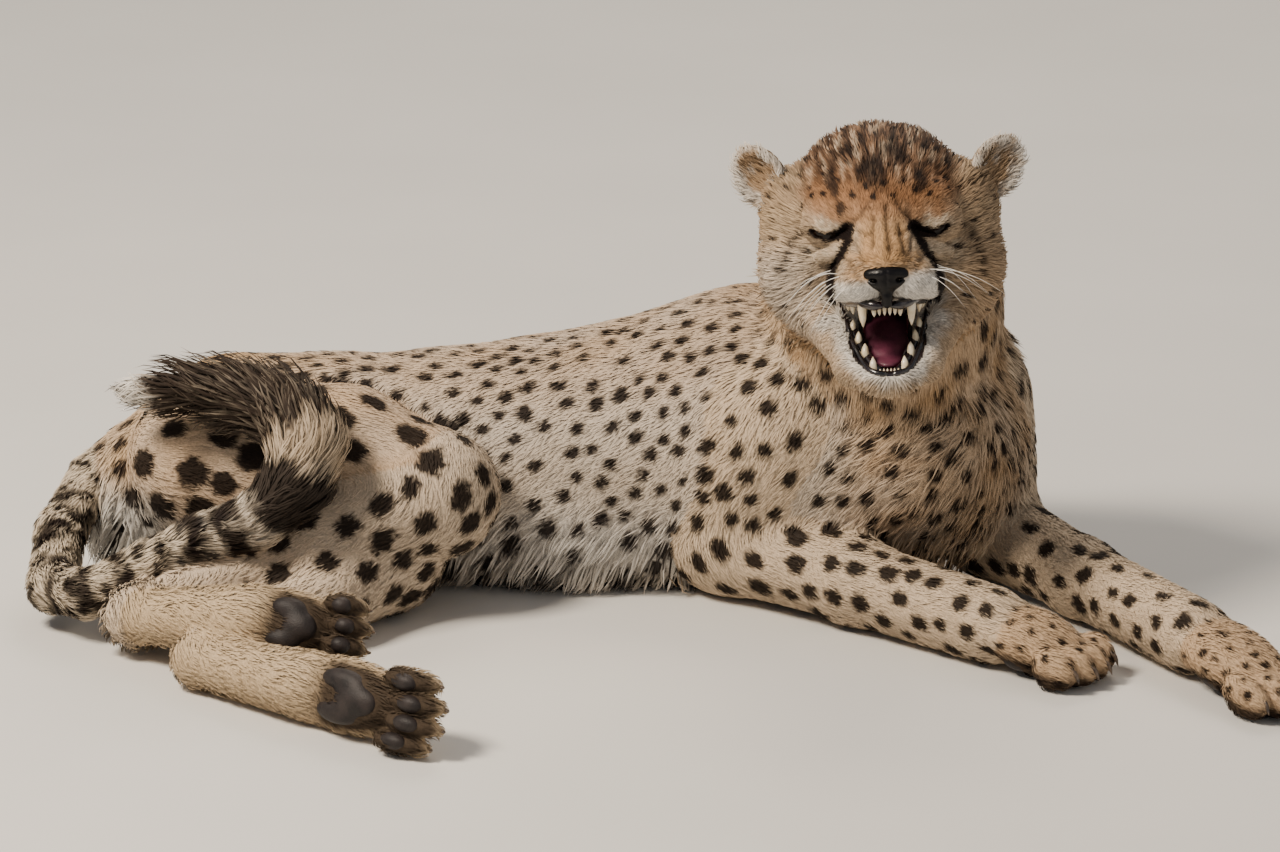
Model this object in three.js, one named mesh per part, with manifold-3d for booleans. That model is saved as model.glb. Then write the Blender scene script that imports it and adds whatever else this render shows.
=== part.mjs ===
// A young cheetah lying down, as a still, life-size museum model. Millimetres, +Z up, floor at z = 0.
// The chest lies upright with both forelegs reaching forward, the hips are rolled onto the left hip
// with both hind feet out to the right side of the body, and the head is turned with its mouth open.
//
// Each part of the body is a field: a sum of tapering limbs and eggs blended into one another. A field
// becomes a closed mesh, the mesh is thinned, and the parts are parted from each other by thin cuts.
import * as THREE from 'three';
import Module from 'manifold-3d';

const wasm = await Module();
wasm.setup();
const { Manifold, Mesh: SolidMesh } = wasm;

const V = (x, y, z) => new THREE.Vector3(x, y, z);

// ---------------------------------------------------------------- driving dimensions
const GAP = 0.3;                    // clearance where two parts meet
const CLEARANCE = 0.45;             // how far a part is swollen before it is cut out of its neighbour
const TOUCH = 1e-4;                 // overlap, in cubic mm, that counts as none
const SMOOTHED = 0.06;              // detail below this size, left by cutting, is smoothed away
const HAIR_SMOOTHED = 0.2;          // the same among hair
const SLIVER = 0.02;                // twice the area of a triangle too thin to say where it faces
const LOCK_ROOT = 5;                // how deep the root of a lock is sunk
const EASE = 0.05;                  // how strongly a corner keeps to its mean direction as it is moved out
const SHARPEST = 0.3;               // cosine at the sharpest edge that is moved out in full
const CELL = { trunk: 11, limb: 8, foot: 4.5, head: 4.2, ear: 2.6, tongue: 4 };

// The spine from tail root to throat: centre of the body and its half thickness there.
const SPINE = {
  rump: { at: V(-366, 62, 64), radius: 62 },
  pelvis: { at: V(-305, 76, 83), radius: 79 },
  loin: { at: V(-230, 80, 83), radius: 79 },
  flank: { at: V(-140, 88, 82), radius: 82 },
  belly: { at: V(-60, 92, 86), radius: 87 },
  ribs: { at: V(15, 92, 94), radius: 94 },
  withers: { at: V(88, 80, 108), radius: 107 },
  breast: { at: V(165, 48, 102), radius: 98 },
  forechest: { at: V(212, 20, 112), radius: 78 },
};
const NECK = {
  root: { at: V(184, 50, 170), radius: 83 },
  middle: { at: V(186, 18, 226), radius: 78 },
  top: { at: V(180, -12, 284), radius: 70 },
};

// The belly spreads on the floor below the ribs.
const BELLY = [
  { at: V(-180, 54, 42), radius: 42 },
  { at: V(-60, 46, 44), radius: 44 },
  { at: V(50, 46, 45), radius: 45 },
];

// Limb joints with the half thickness of the leg, coat included.
const FORELEG_RIGHT = {
  shoulder: { at: V(104, 6, 132), radius: 56 },
  elbow: { at: V(70, 8, 42), radius: 38 },
  forearm: { at: V(160, -64, 35), radius: 32 },
  wrist: { at: V(258, -150, 29), radius: 30 },
  toes: V(334, -208, 16),
};
const FORELEG_LEFT = {
  shoulder: { at: V(244, 62, 140), radius: 54 },
  elbow: { at: V(268, 46, 40), radius: 36 },
  forearm: { at: V(330, -50, 33), radius: 29 },
  wrist: { at: V(404, -176, 29), radius: 29 },
  toes: V(472, -284, 16),
};
const HINDLEG_RIGHT = {
  hip: { at: V(-322, 30, 96), radius: 68 },
  thigh: { at: V(-222, -2, 104), radius: 64 },
  knee: { at: V(-154, -30, 92), radius: 48 },
  shank: { at: V(-252, -74, 62), radius: 36 },
  hock: { at: V(-372, -130, 29), radius: 22 },
  ball: V(-283, -202, 52),
  toes: V(-196, -232, 44),
};
const HINDLEG_LEFT = {
  hip: { at: V(-330, 92, 52), radius: 54 },
  thigh: { at: V(-250, 34, 50), radius: 52 },
  knee: { at: V(-190, -34, 44), radius: 42 },
  shank: { at: V(-236, -104, 32), radius: 31 },
  hock: { at: V(-320, -206, 21), radius: 20 },
  ball: V(-240, -276, 27),
  toes: V(-138, -362, 30),
};

// The tail falls from the rump, turns forward on the floor, climbs the folded leg and curls back.
const TAIL = [
  { at: V(-380, 92, 90), radius: 29 },
  { at: V(-414, 50, 80), radius: 25 },
  { at: V(-436, -4, 54), radius: 24 },
  { at: V(-438, -68, 31), radius: 24 },
  { at: V(-410, -99, 36), radius: 23 },
  { at: V(-366, -101, 58), radius: 23 },
  { at: V(-324, -102, 78), radius: 25 },
  { at: V(-284, -107, 94), radius: 26 },
  { at: V(-254, -102, 121), radius: 29 },
  { at: V(-246, -88, 147), radius: 31 },
  { at: V(-262, -64, 166), radius: 29 },
  { at: V(-296, -48, 175), radius: 25 },
  { at: V(-336, -38, 176), radius: 19 },
  { at: V(-384, -26, 172), radius: 7 },
];

// The head's own frame: x to its left (the viewer's right), y backwards, z up, origin between the ears.
const HEAD = { at: V(177, -55, 303), pitch: 12, roll: 2.5, turn: 0 };

// Stations of the tail where one length ends and the next begins.
const TAIL_JOINTS = [0, 3, 6, 9, TAIL.length - 1];

// Long hair. A ring of locks leans back by its slope; angles run from the left side over the nape.
const MANE = { length: 60, width: 46, lift: 9 };
const NAPE_RINGS = [
  { at: V(183, 6, 250), slope: 0.54, from: 0, to: 324, count: 10 },
  { at: V(185, 26, 212), slope: 0.54, from: 0, to: 324, count: 9 },
];
const BIB_RINGS = [
  { at: V(190, 40, 158), slope: 0.45, from: 186, to: 370, count: 6 },
  { at: V(196, 32, 126), slope: 0.35, from: 186, to: 366, count: 6 },
  { at: V(200, 28, 94), slope: 0.2, from: 192, to: 358, count: 5 },
];
const RUFF = { length: 34, width: 24, lift: 5, at: V(0, 26, -22), angles: [14, -8, -30, -52, -72] };
const FRINGE = { length: 44, width: 30, lift: 7, heights: [40, 22], from: -168, to: -32, count: 6 };
const BRUSH = { length: 54, width: 40, lift: 7, step: 60, spacing: 56 };

const COLOUR = {
  sand: 0xc9a781, cream: 0xd9c6a9, rust: 0xb98152, buff: 0xc2a078, dark: 0x2a2220,
  nose: 0x1d1818, tongue: 0x8c4a55, eye: 0x7a4a1c,
};

// ---------------------------------------------------------------- fields
const clamp = (value, low, high) => Math.min(high, Math.max(low, value));

/** A field: distance(x, y, z) is negative inside, and box holds all of it. */
const field = (box, distance) => ({ box, distance });

/** A limb that tapers from radius ra at a to radius rb at b, with round ends. */
function limb(a, b, ra, rb) {
  const [dx, dy, dz] = [b.x - a.x, b.y - a.y, b.z - a.z];
  const length2 = dx * dx + dy * dy + dz * dz;
  const box = new THREE.Box3().setFromPoints([a, b]).expandByScalar(Math.max(ra, rb));
  return field(box, (x, y, z) => {
    const [px, py, pz] = [x - a.x, y - a.y, z - a.z];
    const t = clamp((px * dx + py * dy + pz * dz) / length2, 0, 1);
    return Math.hypot(px - dx * t, py - dy * t, pz - dz * t) - (ra + (rb - ra) * t);
  });
}

/** An egg with half axes radii, turned by a rotation. */
function egg(centre, radii, rotation = new THREE.Quaternion()) {
  const e = new THREE.Matrix4().compose(centre, rotation, V(1, 1, 1)).invert().elements;
  const reach = Math.max(radii.x, radii.y, radii.z);
  const box = new THREE.Box3().setFromCenterAndSize(centre, V(2 * reach, 2 * reach, 2 * reach));
  return field(box, (x, y, z) => {
    const px = (e[0] * x + e[4] * y + e[8] * z + e[12]) / radii.x;
    const py = (e[1] * x + e[5] * y + e[9] * z + e[13]) / radii.y;
    const pz = (e[2] * x + e[6] * y + e[10] * z + e[14]) / radii.z;
    const near = Math.hypot(px, py, pz);
    const slope = Math.hypot(px / radii.x, py / radii.y, pz / radii.z);
    return slope < 1e-9 ? -Math.min(radii.x, radii.y, radii.z) : near * (near - 1) / slope;
  });
}

/** Several fields run into one another, with fillets of about the given radius. */
function blend(radius, fields) {
  const box = fields.reduce((all, one) => all.union(one.box), new THREE.Box3());
  const parts = fields.map((one) => one.distance);
  return field(box.expandByScalar(radius * 0.4), (x, y, z) => {
    let sum = parts[0](x, y, z);
    for (let i = 1; i < parts.length; i += 1) {
      const next = parts[i](x, y, z);
      const mix = Math.max(radius - Math.abs(sum - next), 0) / radius;
      sum = Math.min(sum, next) - mix * mix * radius * 0.25;
    }
    return sum;
  });
}

/** A field with another one hollowed out of it, with an edge of about the given radius. */
function hollow(radius, body, tool) {
  return field(body.box, (x, y, z) => {
    const [inside, outside] = [body.distance(x, y, z), -tool.distance(x, y, z)];
    const mix = Math.max(radius - Math.abs(inside - outside), 0) / radius;
    return Math.max(inside, outside) + mix * mix * radius * 0.25;
  });
}

/** A chain of limbs through stations of place and radius. */
function chain(radius, stations) {
  const links = [];
  for (let i = 1; i < stations.length; i += 1) {
    const [from, to] = [stations[i - 1], stations[i]];
    links.push(limb(from.at, to.at, from.radius, to.radius));
  }
  return blend(radius, links);
}

// ---------------------------------------------------------------- from field to mesh
const CORNERS = [[0, 0, 0], [1, 0, 0], [0, 1, 0], [1, 1, 0], [0, 0, 1], [1, 0, 1], [0, 1, 1], [1, 1, 1]];
const TETRAHEDRA = [[0, 1, 3, 7], [0, 2, 3, 7], [0, 2, 6, 7], [0, 4, 6, 7], [0, 4, 5, 7], [0, 1, 5, 7]];

/** The surface of a field, as a closed mesh with a vertex where each cell's edges cross it. */
function surfaceOf({ box, distance }, cell) {
  const low = box.min.clone().subScalar(2 * cell);
  const count = box.max.clone().addScalar(2 * cell).sub(low).divideScalar(cell).ceil().addScalar(1);
  const [nx, ny, nz] = count.toArray();
  const total = nx * ny * nz;
  const place = (i) => [i % nx, Math.floor(i / nx) % ny, Math.floor(i / (nx * ny))]
    .map((step, axis) => low.getComponent(axis) + step * cell);
  const depth = new Float64Array(total);
  for (let i = 0; i < total; i += 1) depth[i] = distance(...place(i));

  const vertices = [];
  const triangles = [];
  const found = new Map();
  const crossing = (i, j) => {
    const key = Math.min(i, j) * total + Math.max(i, j);
    if (!found.has(key)) {
      const [a, b] = i < j ? [i, j] : [j, i];
      const t = clamp(depth[a] / (depth[a] - depth[b]), 0.05, 0.95);
      const [from, to] = [place(a), place(b)];
      found.set(key, vertices.length);
      vertices.push(from.map((value, axis) => value + (to[axis] - value) * t));
    }
    return found.get(key);
  };
  const addFacing = (a, b, c, outside) => {
    const [p, q, r] = [vertices[a], vertices[b], vertices[c]].map((v) => V(...v));
    const normal = q.clone().sub(p).cross(r.clone().sub(p));
    const outwards = normal.dot(V(...place(outside)).sub(p)) > 0;
    triangles.push(outwards ? [a, b, c] : [a, c, b]);
  };
  for (let k = 0; k < nz - 1; k += 1) {
    for (let j = 0; j < ny - 1; j += 1) {
      for (let i = 0; i < nx - 1; i += 1) {
        const ids = CORNERS.map(([a, b, c]) => i + a + nx * (j + b + ny * (k + c)));
        const inside = ids.filter((id) => depth[id] < 0).length;
        if (inside === 0 || inside === 8) continue;
        for (const tetrahedron of TETRAHEDRA) {
          const corners = tetrahedron.map((corner) => ids[corner]);
          const ins = corners.filter((id) => depth[id] < 0);
          const outs = corners.filter((id) => depth[id] >= 0);
          if (ins.length === 1 || outs.length === 1) {
            const [alone, rest] = ins.length === 1 ? [ins[0], outs] : [outs[0], ins];
            addFacing(...rest.map((id) => crossing(alone, id)), outs[0]);
          } else if (ins.length === 2) {
            const ring = [[ins[0], outs[0]], [ins[0], outs[1]], [ins[1], outs[1]], [ins[1], outs[0]]]
              .map(([a, b]) => crossing(a, b));
            addFacing(ring[0], ring[1], ring[2], outs[0]);
            addFacing(ring[0], ring[2], ring[3], outs[0]);
          }
        }
      }
    }
  }
  return { vertices, triangles };
}

/** Collapses the flattest edges of a closed mesh until about the asked number of triangles is left. */
function thinned({ vertices, triangles }, target) {
  const places = vertices.map((v) => V(...v));
  const faces = triangles.map((triangle) => [...triangle]);
  const around = places.map(() => new Set());
  const quadrics = places.map(() => new Float64Array(10));
  const normalOf = ([a, b, c], moved = null, to = null) => {
    const [p, q, r] = [a, b, c].map((id) => (id === moved ? to : places[id]));
    return q.clone().sub(p).cross(r.clone().sub(p));
  };
  faces.forEach((face, index) => {
    const normal = normalOf(face);
    const area = normal.length();
    const { x, y, z } = normal.normalize();
    const w = -normal.dot(places[face[0]]);
    const terms = [x * x, x * y, x * z, x * w, y * y, y * z, y * w, z * z, z * w, w * w];
    for (const id of face) {
      around[id].add(index);
      terms.forEach((term, slot) => { quadrics[id][slot] += term * area; });
    }
  });
  const costAt = (q, { x, y, z }) => q[0] * x * x + 2 * q[1] * x * y + 2 * q[2] * x * z + 2 * q[3] * x
    + q[4] * y * y + 2 * q[5] * y * z + 2 * q[6] * y + q[7] * z * z + 2 * q[8] * z + q[9];
  const best = (a, b) => {
    const q = quadrics[a].map((value, slot) => value + quadrics[b][slot]);
    const middle = places[a].clone().lerp(places[b], 0.5);
    const matrix = new THREE.Matrix3().set(q[0], q[1], q[2], q[1], q[4], q[5], q[2], q[5], q[7]);
    const size = q[0] + q[4] + q[7];
    const options = [middle, places[a], places[b]];
    if (Math.abs(matrix.determinant()) > 1e-4 * size ** 3) {
      const exact = V(-q[3], -q[6], -q[8]).applyMatrix3(matrix.invert());
      if (exact.distanceTo(middle) < 2 * places[a].distanceTo(places[b])) options.unshift(exact);
    }
    const costs = options.map((point) => costAt(q, point));
    const pick = costs.indexOf(Math.min(...costs));
    // A little of the edge's length in the cost keeps flat stretches evenly divided.
    const evened = 1e-3 * size * places[a].distanceToSquared(places[b]);
    return { a, b, to: options[pick], cost: costs[pick] + evened };
  };

  const heap = [];
  const push = (item) => {
    heap.push(item);
    for (let i = heap.length - 1; i > 0;) {
      const parent = (i - 1) >> 1;
      if (heap[parent].cost <= heap[i].cost) break;
      [heap[parent], heap[i]] = [heap[i], heap[parent]];
      i = parent;
    }
  };
  const pop = () => {
    const top = heap[0];
    const last = heap.pop();
    if (heap.length === 0) return top;
    heap[0] = last;
    for (let i = 0; ;) {
      let small = i;
      for (const child of [2 * i + 1, 2 * i + 2]) {
        if (child < heap.length && heap[child].cost < heap[small].cost) small = child;
      }
      if (small === i) return top;
      [heap[small], heap[i]] = [heap[i], heap[small]];
      i = small;
    }
  };
  const version = new Int32Array(places.length);
  const offer = (a, b) => push({ ...best(a, b), age: [version[a], version[b]] });
  const neighbours = (id) => new Set([...around[id]].flatMap((face) => faces[face])
    .filter((other) => other !== id));
  for (const [a, b, c] of faces) {
    for (const [from, to] of [[a, b], [b, c], [c, a]]) if (from < to) offer(from, to);
  }
  let left = faces.length;
  while (left > target && heap.length > 0) {
    const { a, b, to, age } = pop();
    if (age[0] !== version[a] || age[1] !== version[b]) continue;
    const nearB = neighbours(b);
    const shared = [...neighbours(a)].filter((id) => nearB.has(id));
    if (shared.length !== 2) continue;
    const keeps = (id, other) => [...around[id]].every((face) => {
      if (faces[face].includes(other)) return true;
      const [before, after] = [normalOf(faces[face]), normalOf(faces[face], id, to)];
      return before.dot(after) > 0.3 * before.length() * after.length() && after.length() > 0.05;
    });
    if (!keeps(a, b) || !keeps(b, a)) continue;
    places[a] = to;
    quadrics[b].forEach((value, slot) => { quadrics[a][slot] += value; });
    for (const face of around[b]) {
      if (faces[face].includes(a)) {
        faces[face].forEach((id) => around[id].delete(face));
        faces[face] = null;
        left -= 1;
      } else {
        faces[face] = faces[face].map((id) => (id === b ? a : id));
        around[a].add(face);
      }
    }
    version[a] += 1;
    version[b] = -1;
    for (const id of neighbours(a)) offer(a, id);
  }
  const kept = faces.filter((face) => face !== null);
  const order = new Map();
  for (const id of kept.flat()) if (!order.has(id)) order.set(id, order.size);
  return {
    vertices: [...order.keys()].map((id) => places[id].toArray()),
    triangles: kept.map((face) => face.map((id) => order.get(id))),
  };
}

// ---------------------------------------------------------------- solids
/** A closed mesh as a solid that can be joined and cut. */
function solidOf({ vertices, triangles }) {
  return new Manifold(new SolidMesh({
    numProp: 3,
    vertProperties: new Float32Array(vertices.flat()),
    triVerts: new Uint32Array(triangles.flat()),
  }));
}

/** The vertices and triangles of a solid. */
function meshOf(solid) {
  const mesh = solid.getMesh();
  const vertices = [];
  const triangles = [];
  for (let i = 0; i < mesh.vertProperties.length; i += mesh.numProp) {
    vertices.push([...mesh.vertProperties.slice(i, i + 3)]);
  }
  for (let i = 0; i < mesh.triVerts.length; i += 3) triangles.push([...mesh.triVerts.slice(i, i + 3)]);
  return { vertices, triangles };
}

/** A solid grown outwards everywhere by at least a small amount, to cut clearance in a neighbour. */
function swollen(solid, amount = CLEARANCE) {
  const { vertices, triangles } = meshOf(solid);
  const places = vertices.map((v) => V(...v));
  const facing = places.map(() => []);
  for (const [a, b, c] of triangles) {
    const normal = places[b].clone().sub(places[a]).cross(places[c].clone().sub(places[a]));
    if (normal.length() < SLIVER) continue;
    normal.normalize();
    for (const id of [a, b, c]) facing[id].push(normal);
  }
  // On an edge the corner goes further out, so that each face beside it still moves by the amount.
  const moved = places.map((place, id) => {
    const mean = facing[id].reduce((sum, normal) => sum.add(normal), V(0, 0, 0)).normalize();
    const planes = new THREE.Matrix3().set(EASE, 0, 0, 0, EASE, 0, 0, 0, EASE);
    const missing = V(0, 0, 0);
    for (const { x, y, z } of facing[id]) {
      [x * x, x * y, x * z, x * y, y * y, y * z, x * z, y * z, z * z]
        .forEach((term, slot) => { planes.elements[slot] += term; });
      missing.addScaledVector(V(x, y, z), 1 - mean.dot(V(x, y, z)));
    }
    const step = mean.add(missing.applyMatrix3(planes.invert()));
    return place.addScaledVector(step.clampLength(1, 1 / SHARPEST), amount);
  });
  return solidOf({ vertices: moved.map((place) => place.toArray()), triangles });
}

/** The field's solid, with cells of the asked size and about the asked number of triangles. */
const bodyOf = (form, cell, target) => solidOf(thinned(surfaceOf(form, cell), target));

/** A three.js geometry's solid, with its shared corners merged. */
function solidFrom(geometry, matrix = new THREE.Matrix4()) {
  const source = geometry.applyMatrix4(matrix);
  const corners = new Map();
  const vertices = [];
  const ids = [];
  const position = source.attributes.position;
  for (let i = 0; i < position.count; i += 1) {
    const place = [position.getX(i), position.getY(i), position.getZ(i)];
    const key = place.map((value) => Math.round(value * 1e4)).join();
    if (!corners.has(key)) {
      corners.set(key, vertices.length);
      vertices.push(place);
    }
    ids.push(corners.get(key));
  }
  const triangles = [];
  const index = source.index ? [...source.index.array] : ids.map((_, i) => i);
  for (let i = 0; i < index.length; i += 3) {
    const triangle = [ids[index[i]], ids[index[i + 1]], ids[index[i + 2]]];
    if (new Set(triangle).size === 3) triangles.push(triangle);
  }
  return solidOf({ vertices, triangles });
}

/** The largest closed surface of a solid, filled: loose scraps and sealed hollows are dropped. */
function largest(solid) {
  const { vertices, triangles } = meshOf(solid);
  const parent = vertices.map((_, id) => id);
  const find = (id) => {
    let root = id;
    while (parent[root] !== root) root = parent[root];
    while (parent[id] !== root) [parent[id], id] = [root, parent[id]];
    return root;
  };
  for (const [a, b, c] of triangles) {
    parent[find(a)] = find(b);
    parent[find(c)] = find(b);
  }
  const volumes = new Map();
  for (const triangle of triangles) {
    const [p, q, r] = triangle.map((id) => V(...vertices[id]));
    const root = find(triangle[0]);
    volumes.set(root, (volumes.get(root) ?? 0) + p.dot(q.cross(r)));
  }
  if (volumes.size === 1) return solid.simplify(SMOOTHED);
  const chosen = [...volumes].sort((one, two) => two[1] - one[1])[0][0];
  const kept = triangles.filter(([a]) => find(a) === chosen);
  const order = new Map();
  for (const id of kept.flat()) if (!order.has(id)) order.set(id, order.size);
  return solidOf({
    vertices: [...order.keys()].map((id) => vertices[id]),
    triangles: kept.map((face) => face.map((id) => order.get(id))),
  }).simplify(SMOOTHED);
}

/** Everything above the floor. */
const ROOM = solidFrom(new THREE.BoxGeometry(2000, 2000, 1000).translate(0, 0, 500));
const above = (solid) => solid.intersect(ROOM);

const between = (a, b, t = 0.5) => a.clone().lerp(b, t);

/** A plane through a point, to part a body there; it faces the piece that comes after the joint. */
const joint = (at, facing) => ({ at, facing: facing.clone().normalize() });

/** The plane that halves the bend of a limb at a joint. */
function bend(before, at, after) {
  const inwards = at.clone().sub(before).normalize();
  const onwards = after.clone().sub(at).normalize();
  return joint(at, inwards.add(onwards));
}

/** What lies after a joint, half the gap from its plane. */
const after = (solid, { at, facing }) => solid.trimByPlane(facing.toArray(), at.dot(facing) + GAP / 2);

/** What lies before a joint, half the gap from its plane. */
const before = (solid, { at, facing }) => after(solid, { at, facing: facing.clone().negate() });

/** Whether the boxes of two solids come near each other. */
function near(one, other) {
  const [a, b] = [one.boundingBox(), other.boundingBox()];
  return [0, 1, 2].every((i) => a.min[i] < b.max[i] + GAP && b.min[i] < a.max[i] + GAP);
}

/** A solid cut clear of its neighbours; what smoothing brings back into them is cut off again. */
function cutClear(solid, others) {
  let left = solid;
  for (const other of others.filter((one) => near(left, one))) {
    left = left.subtract(swollen(other)).subtract(other);
  }
  left = largest(left);
  for (const other of others) {
    if (left.intersect(other).volume() > TOUCH) left = left.subtract(other).simplify(TOUCH);
  }
  return left;
}

// ---------------------------------------------------------------- legs and feet
/** The frame of a foot: forwards to the toes, across the toes, and out of the sole. */
function footFrame(heel, toes, sole) {
  const forwards = toes.clone().sub(heel);
  const length = forwards.length();
  forwards.normalize();
  const out = sole.clone().addScaledVector(forwards, -sole.dot(forwards)).normalize();
  const across = out.clone().cross(forwards);
  const basis = new THREE.Matrix4().makeBasis(forwards, across, out);
  const turn = new THREE.Quaternion().setFromRotationMatrix(basis);
  const place = (ahead, side, down) => heel.clone().addScaledVector(forwards, ahead)
    .addScaledVector(across, side).addScaledVector(out, down);
  return { forwards, across, out, length, turn, place };
}

const TOES = 4;
const FOREPAW = { width: 68, depth: 44 };
const HIND_PAW = { width: 60, depth: 42 };
const CLAW = { length: 13, root: 6, width: 2.6, depth: 4 };
const toeSide = (toe) => (toe - (TOES - 1) / 2) / TOES;
const toeAhead = (length, side) => length * (0.83 - 0.5 * side * side);

/** A paw from the ball of the foot to the toe tips: instep, four toes and the main pad. */
function pawField(frame, { width, depth }) {
  const { length, turn, place } = frame;
  const parts = [
    egg(place(0.3 * length, 0, -0.06 * depth), V(0.48 * length, 0.46 * width, 0.46 * depth), turn),
    egg(place(0.42 * length, 0, 0.26 * depth), V(0.25 * length, 0.34 * width, 0.26 * depth), turn),
  ];
  for (let toe = 0; toe < TOES; toe += 1) {
    const side = toeSide(toe);
    const ahead = toeAhead(length, side);
    parts.push(egg(place(ahead, side * width, 0.06 * depth),
      V(0.2 * length, 0.15 * width, 0.36 * depth), turn));
    parts.push(egg(place(ahead - 0.02 * length, side * width, 0.32 * depth),
      V(0.11 * length, 0.1 * width, 0.16 * depth), turn));
  }
  return blend(5, parts);
}

// ---------------------------------------------------------------- head
// Where head and neck are parted: a plane from the nape down to the throat, facing the head.
const THROAT = joint(V(185, -18, 250), V(0, -0.45, 0.89));

const headMatrix = new THREE.Matrix4().compose(
  HEAD.at,
  new THREE.Quaternion().setFromEuler(new THREE.Euler(
    THREE.MathUtils.degToRad(-HEAD.pitch),
    THREE.MathUtils.degToRad(-HEAD.roll),
    THREE.MathUtils.degToRad(HEAD.turn),
    'ZYX',
  )),
  V(1, 1, 1),
);
const SIDES = [-1, 1];
const EYE = { out: 38, back: -39, up: 6, radius: 15 };
const eyeAt = (side) => V(side * EYE.out, EYE.back, EYE.up);

function headField() {
  const both = SIDES.flatMap((side) => [
    egg(V(side * 50, 10, -22), V(43, 48, 48)),
    egg(V(side * 38, 14, -50), V(36, 42, 34)),
    egg(V(side * 62, 12, 16), V(27, 36, 33)),
    egg(V(side * 32, -34, 20), V(24, 20, 16)),
    egg(V(side * 17, -80, -32), V(19, 20, 16)),
    egg(eyeAt(side), V(19, 18, 15)),
  ]);
  const skull = blend(14, [
    egg(V(0, 18, 14), V(70, 72, 66)),
    limb(V(0, 30, 6), V(0, 62, -46), 60, 76),
    egg(V(0, -30, 20), V(44, 30, 30)),
    limb(V(0, -38, 16), V(0, -88, -14), 24, 13),
    egg(V(0, -62, -24), V(35, 40, 24)),
    ...both,
  ]);
  return hollow(4, skull, egg(V(0, -58, -76), V(34, 62, 29)));
}

function jawField() {
  const both = SIDES.flatMap((side) => [
    limb(V(side * 46, -20, -56), V(side * 27, -66, -93), 18, 11.5),
    limb(V(side * 27, -66, -93), V(side * 10, -84, -104), 11.5, 9),
  ]);
  const slab = blend(9, [
    ...both,
    limb(V(0, -84, -105), V(0, -50, -98), 9, 15),
    limb(V(0, -50, -98), V(0, 0, -78), 15, 30),
  ]);
  return hollow(3, slab, limb(V(0, -20, -64), V(0, -90, -86), 25, 13));
}

function tongueField() {
  return egg(V(0, -44, -83), V(18, 36, 8), new THREE.Quaternion().setFromAxisAngle(V(1, 0, 0), 0.3));
}

function noseField() {
  return blend(5, [
    egg(V(0, -98, -25), V(16, 11, 9)),
    limb(V(0, -98, -30), V(0, -98, -43), 9, 5),
  ]);
}

const EAR = { out: 86, back: 10, up: 42, tilt: 30, radii: V(19, 12, 26), wall: 3.5 };

function earField(side) {
  const turn = new THREE.Quaternion().setFromEuler(
    new THREE.Euler(0, THREE.MathUtils.degToRad(side * EAR.tilt), THREE.MathUtils.degToRad(side * 20)),
  );
  const centre = V(side * EAR.out, EAR.back, EAR.up);
  const cupAt = V(0, -9, 1).applyQuaternion(turn).add(centre);
  const cup = V(EAR.radii.x - EAR.wall, EAR.radii.y, EAR.radii.z - EAR.wall);
  return hollow(2, egg(centre, EAR.radii, turn), egg(cupAt, cup, turn));
}

// Teeth of one side: place of the tip, height above the sunk root, half width and half depth.
const UPPER_TEETH = [
  { tip: V(17.5, -80, -66), height: 27, width: 3.6, depth: 4.2 },
  { tip: V(9.6, -86, -57), height: 18, width: 2.1, depth: 1.8 },
  { tip: V(5.7, -89, -56), height: 17, width: 1.8, depth: 1.7 },
  { tip: V(2, -90, -56), height: 17, width: 1.7, depth: 1.7 },
  { tip: V(24, -60, -60), height: 20, width: 2.6, depth: 5.5 },
  { tip: V(28, -44, -58), height: 22, width: 3, depth: 7 },
];
const LOWER_TEETH = [
  { tip: V(11.5, -82, -89.5), height: 16, width: 3, depth: 3.6 },
  { tip: V(6.4, -86, -92.5), height: 13, width: 1.6, depth: 1.5 },
  { tip: V(3.9, -87, -92.5), height: 13, width: 1.4, depth: 1.5 },
  { tip: V(1.2, -87, -93), height: 12, width: 1.2, depth: 1.5 },
  { tip: V(19, -66, -76), height: 18, width: 3, depth: 4.5 },
  { tip: V(26, -50, -70), height: 16, width: 2.8, depth: 6 },
];

/** A tooth on one side of a jaw, curving slightly back, its tip pointing up (1) or down (-1). */
function toothOn(side, { tip, height, width, depth }, up) {
  const end = V(side * tip.x, tip.y, tip.z);
  const path = [V(0, -2, -height * up), V(0, -1.6, -height * 0.45 * up), V(0, 0, 0)]
    .map((step) => step.add(end));
  return spike(path, V(1, 0, 0), width, depth);
}

// ---------------------------------------------------------------- locks, claws and teeth
/** A number from 0 to 1 that depends only on its index, for the small differences among like pieces. */
const chance = (index) => {
  const value = Math.sin(index * 127.1 + 311.7) * 43758.5453;
  return value - Math.floor(value);
};

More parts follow.
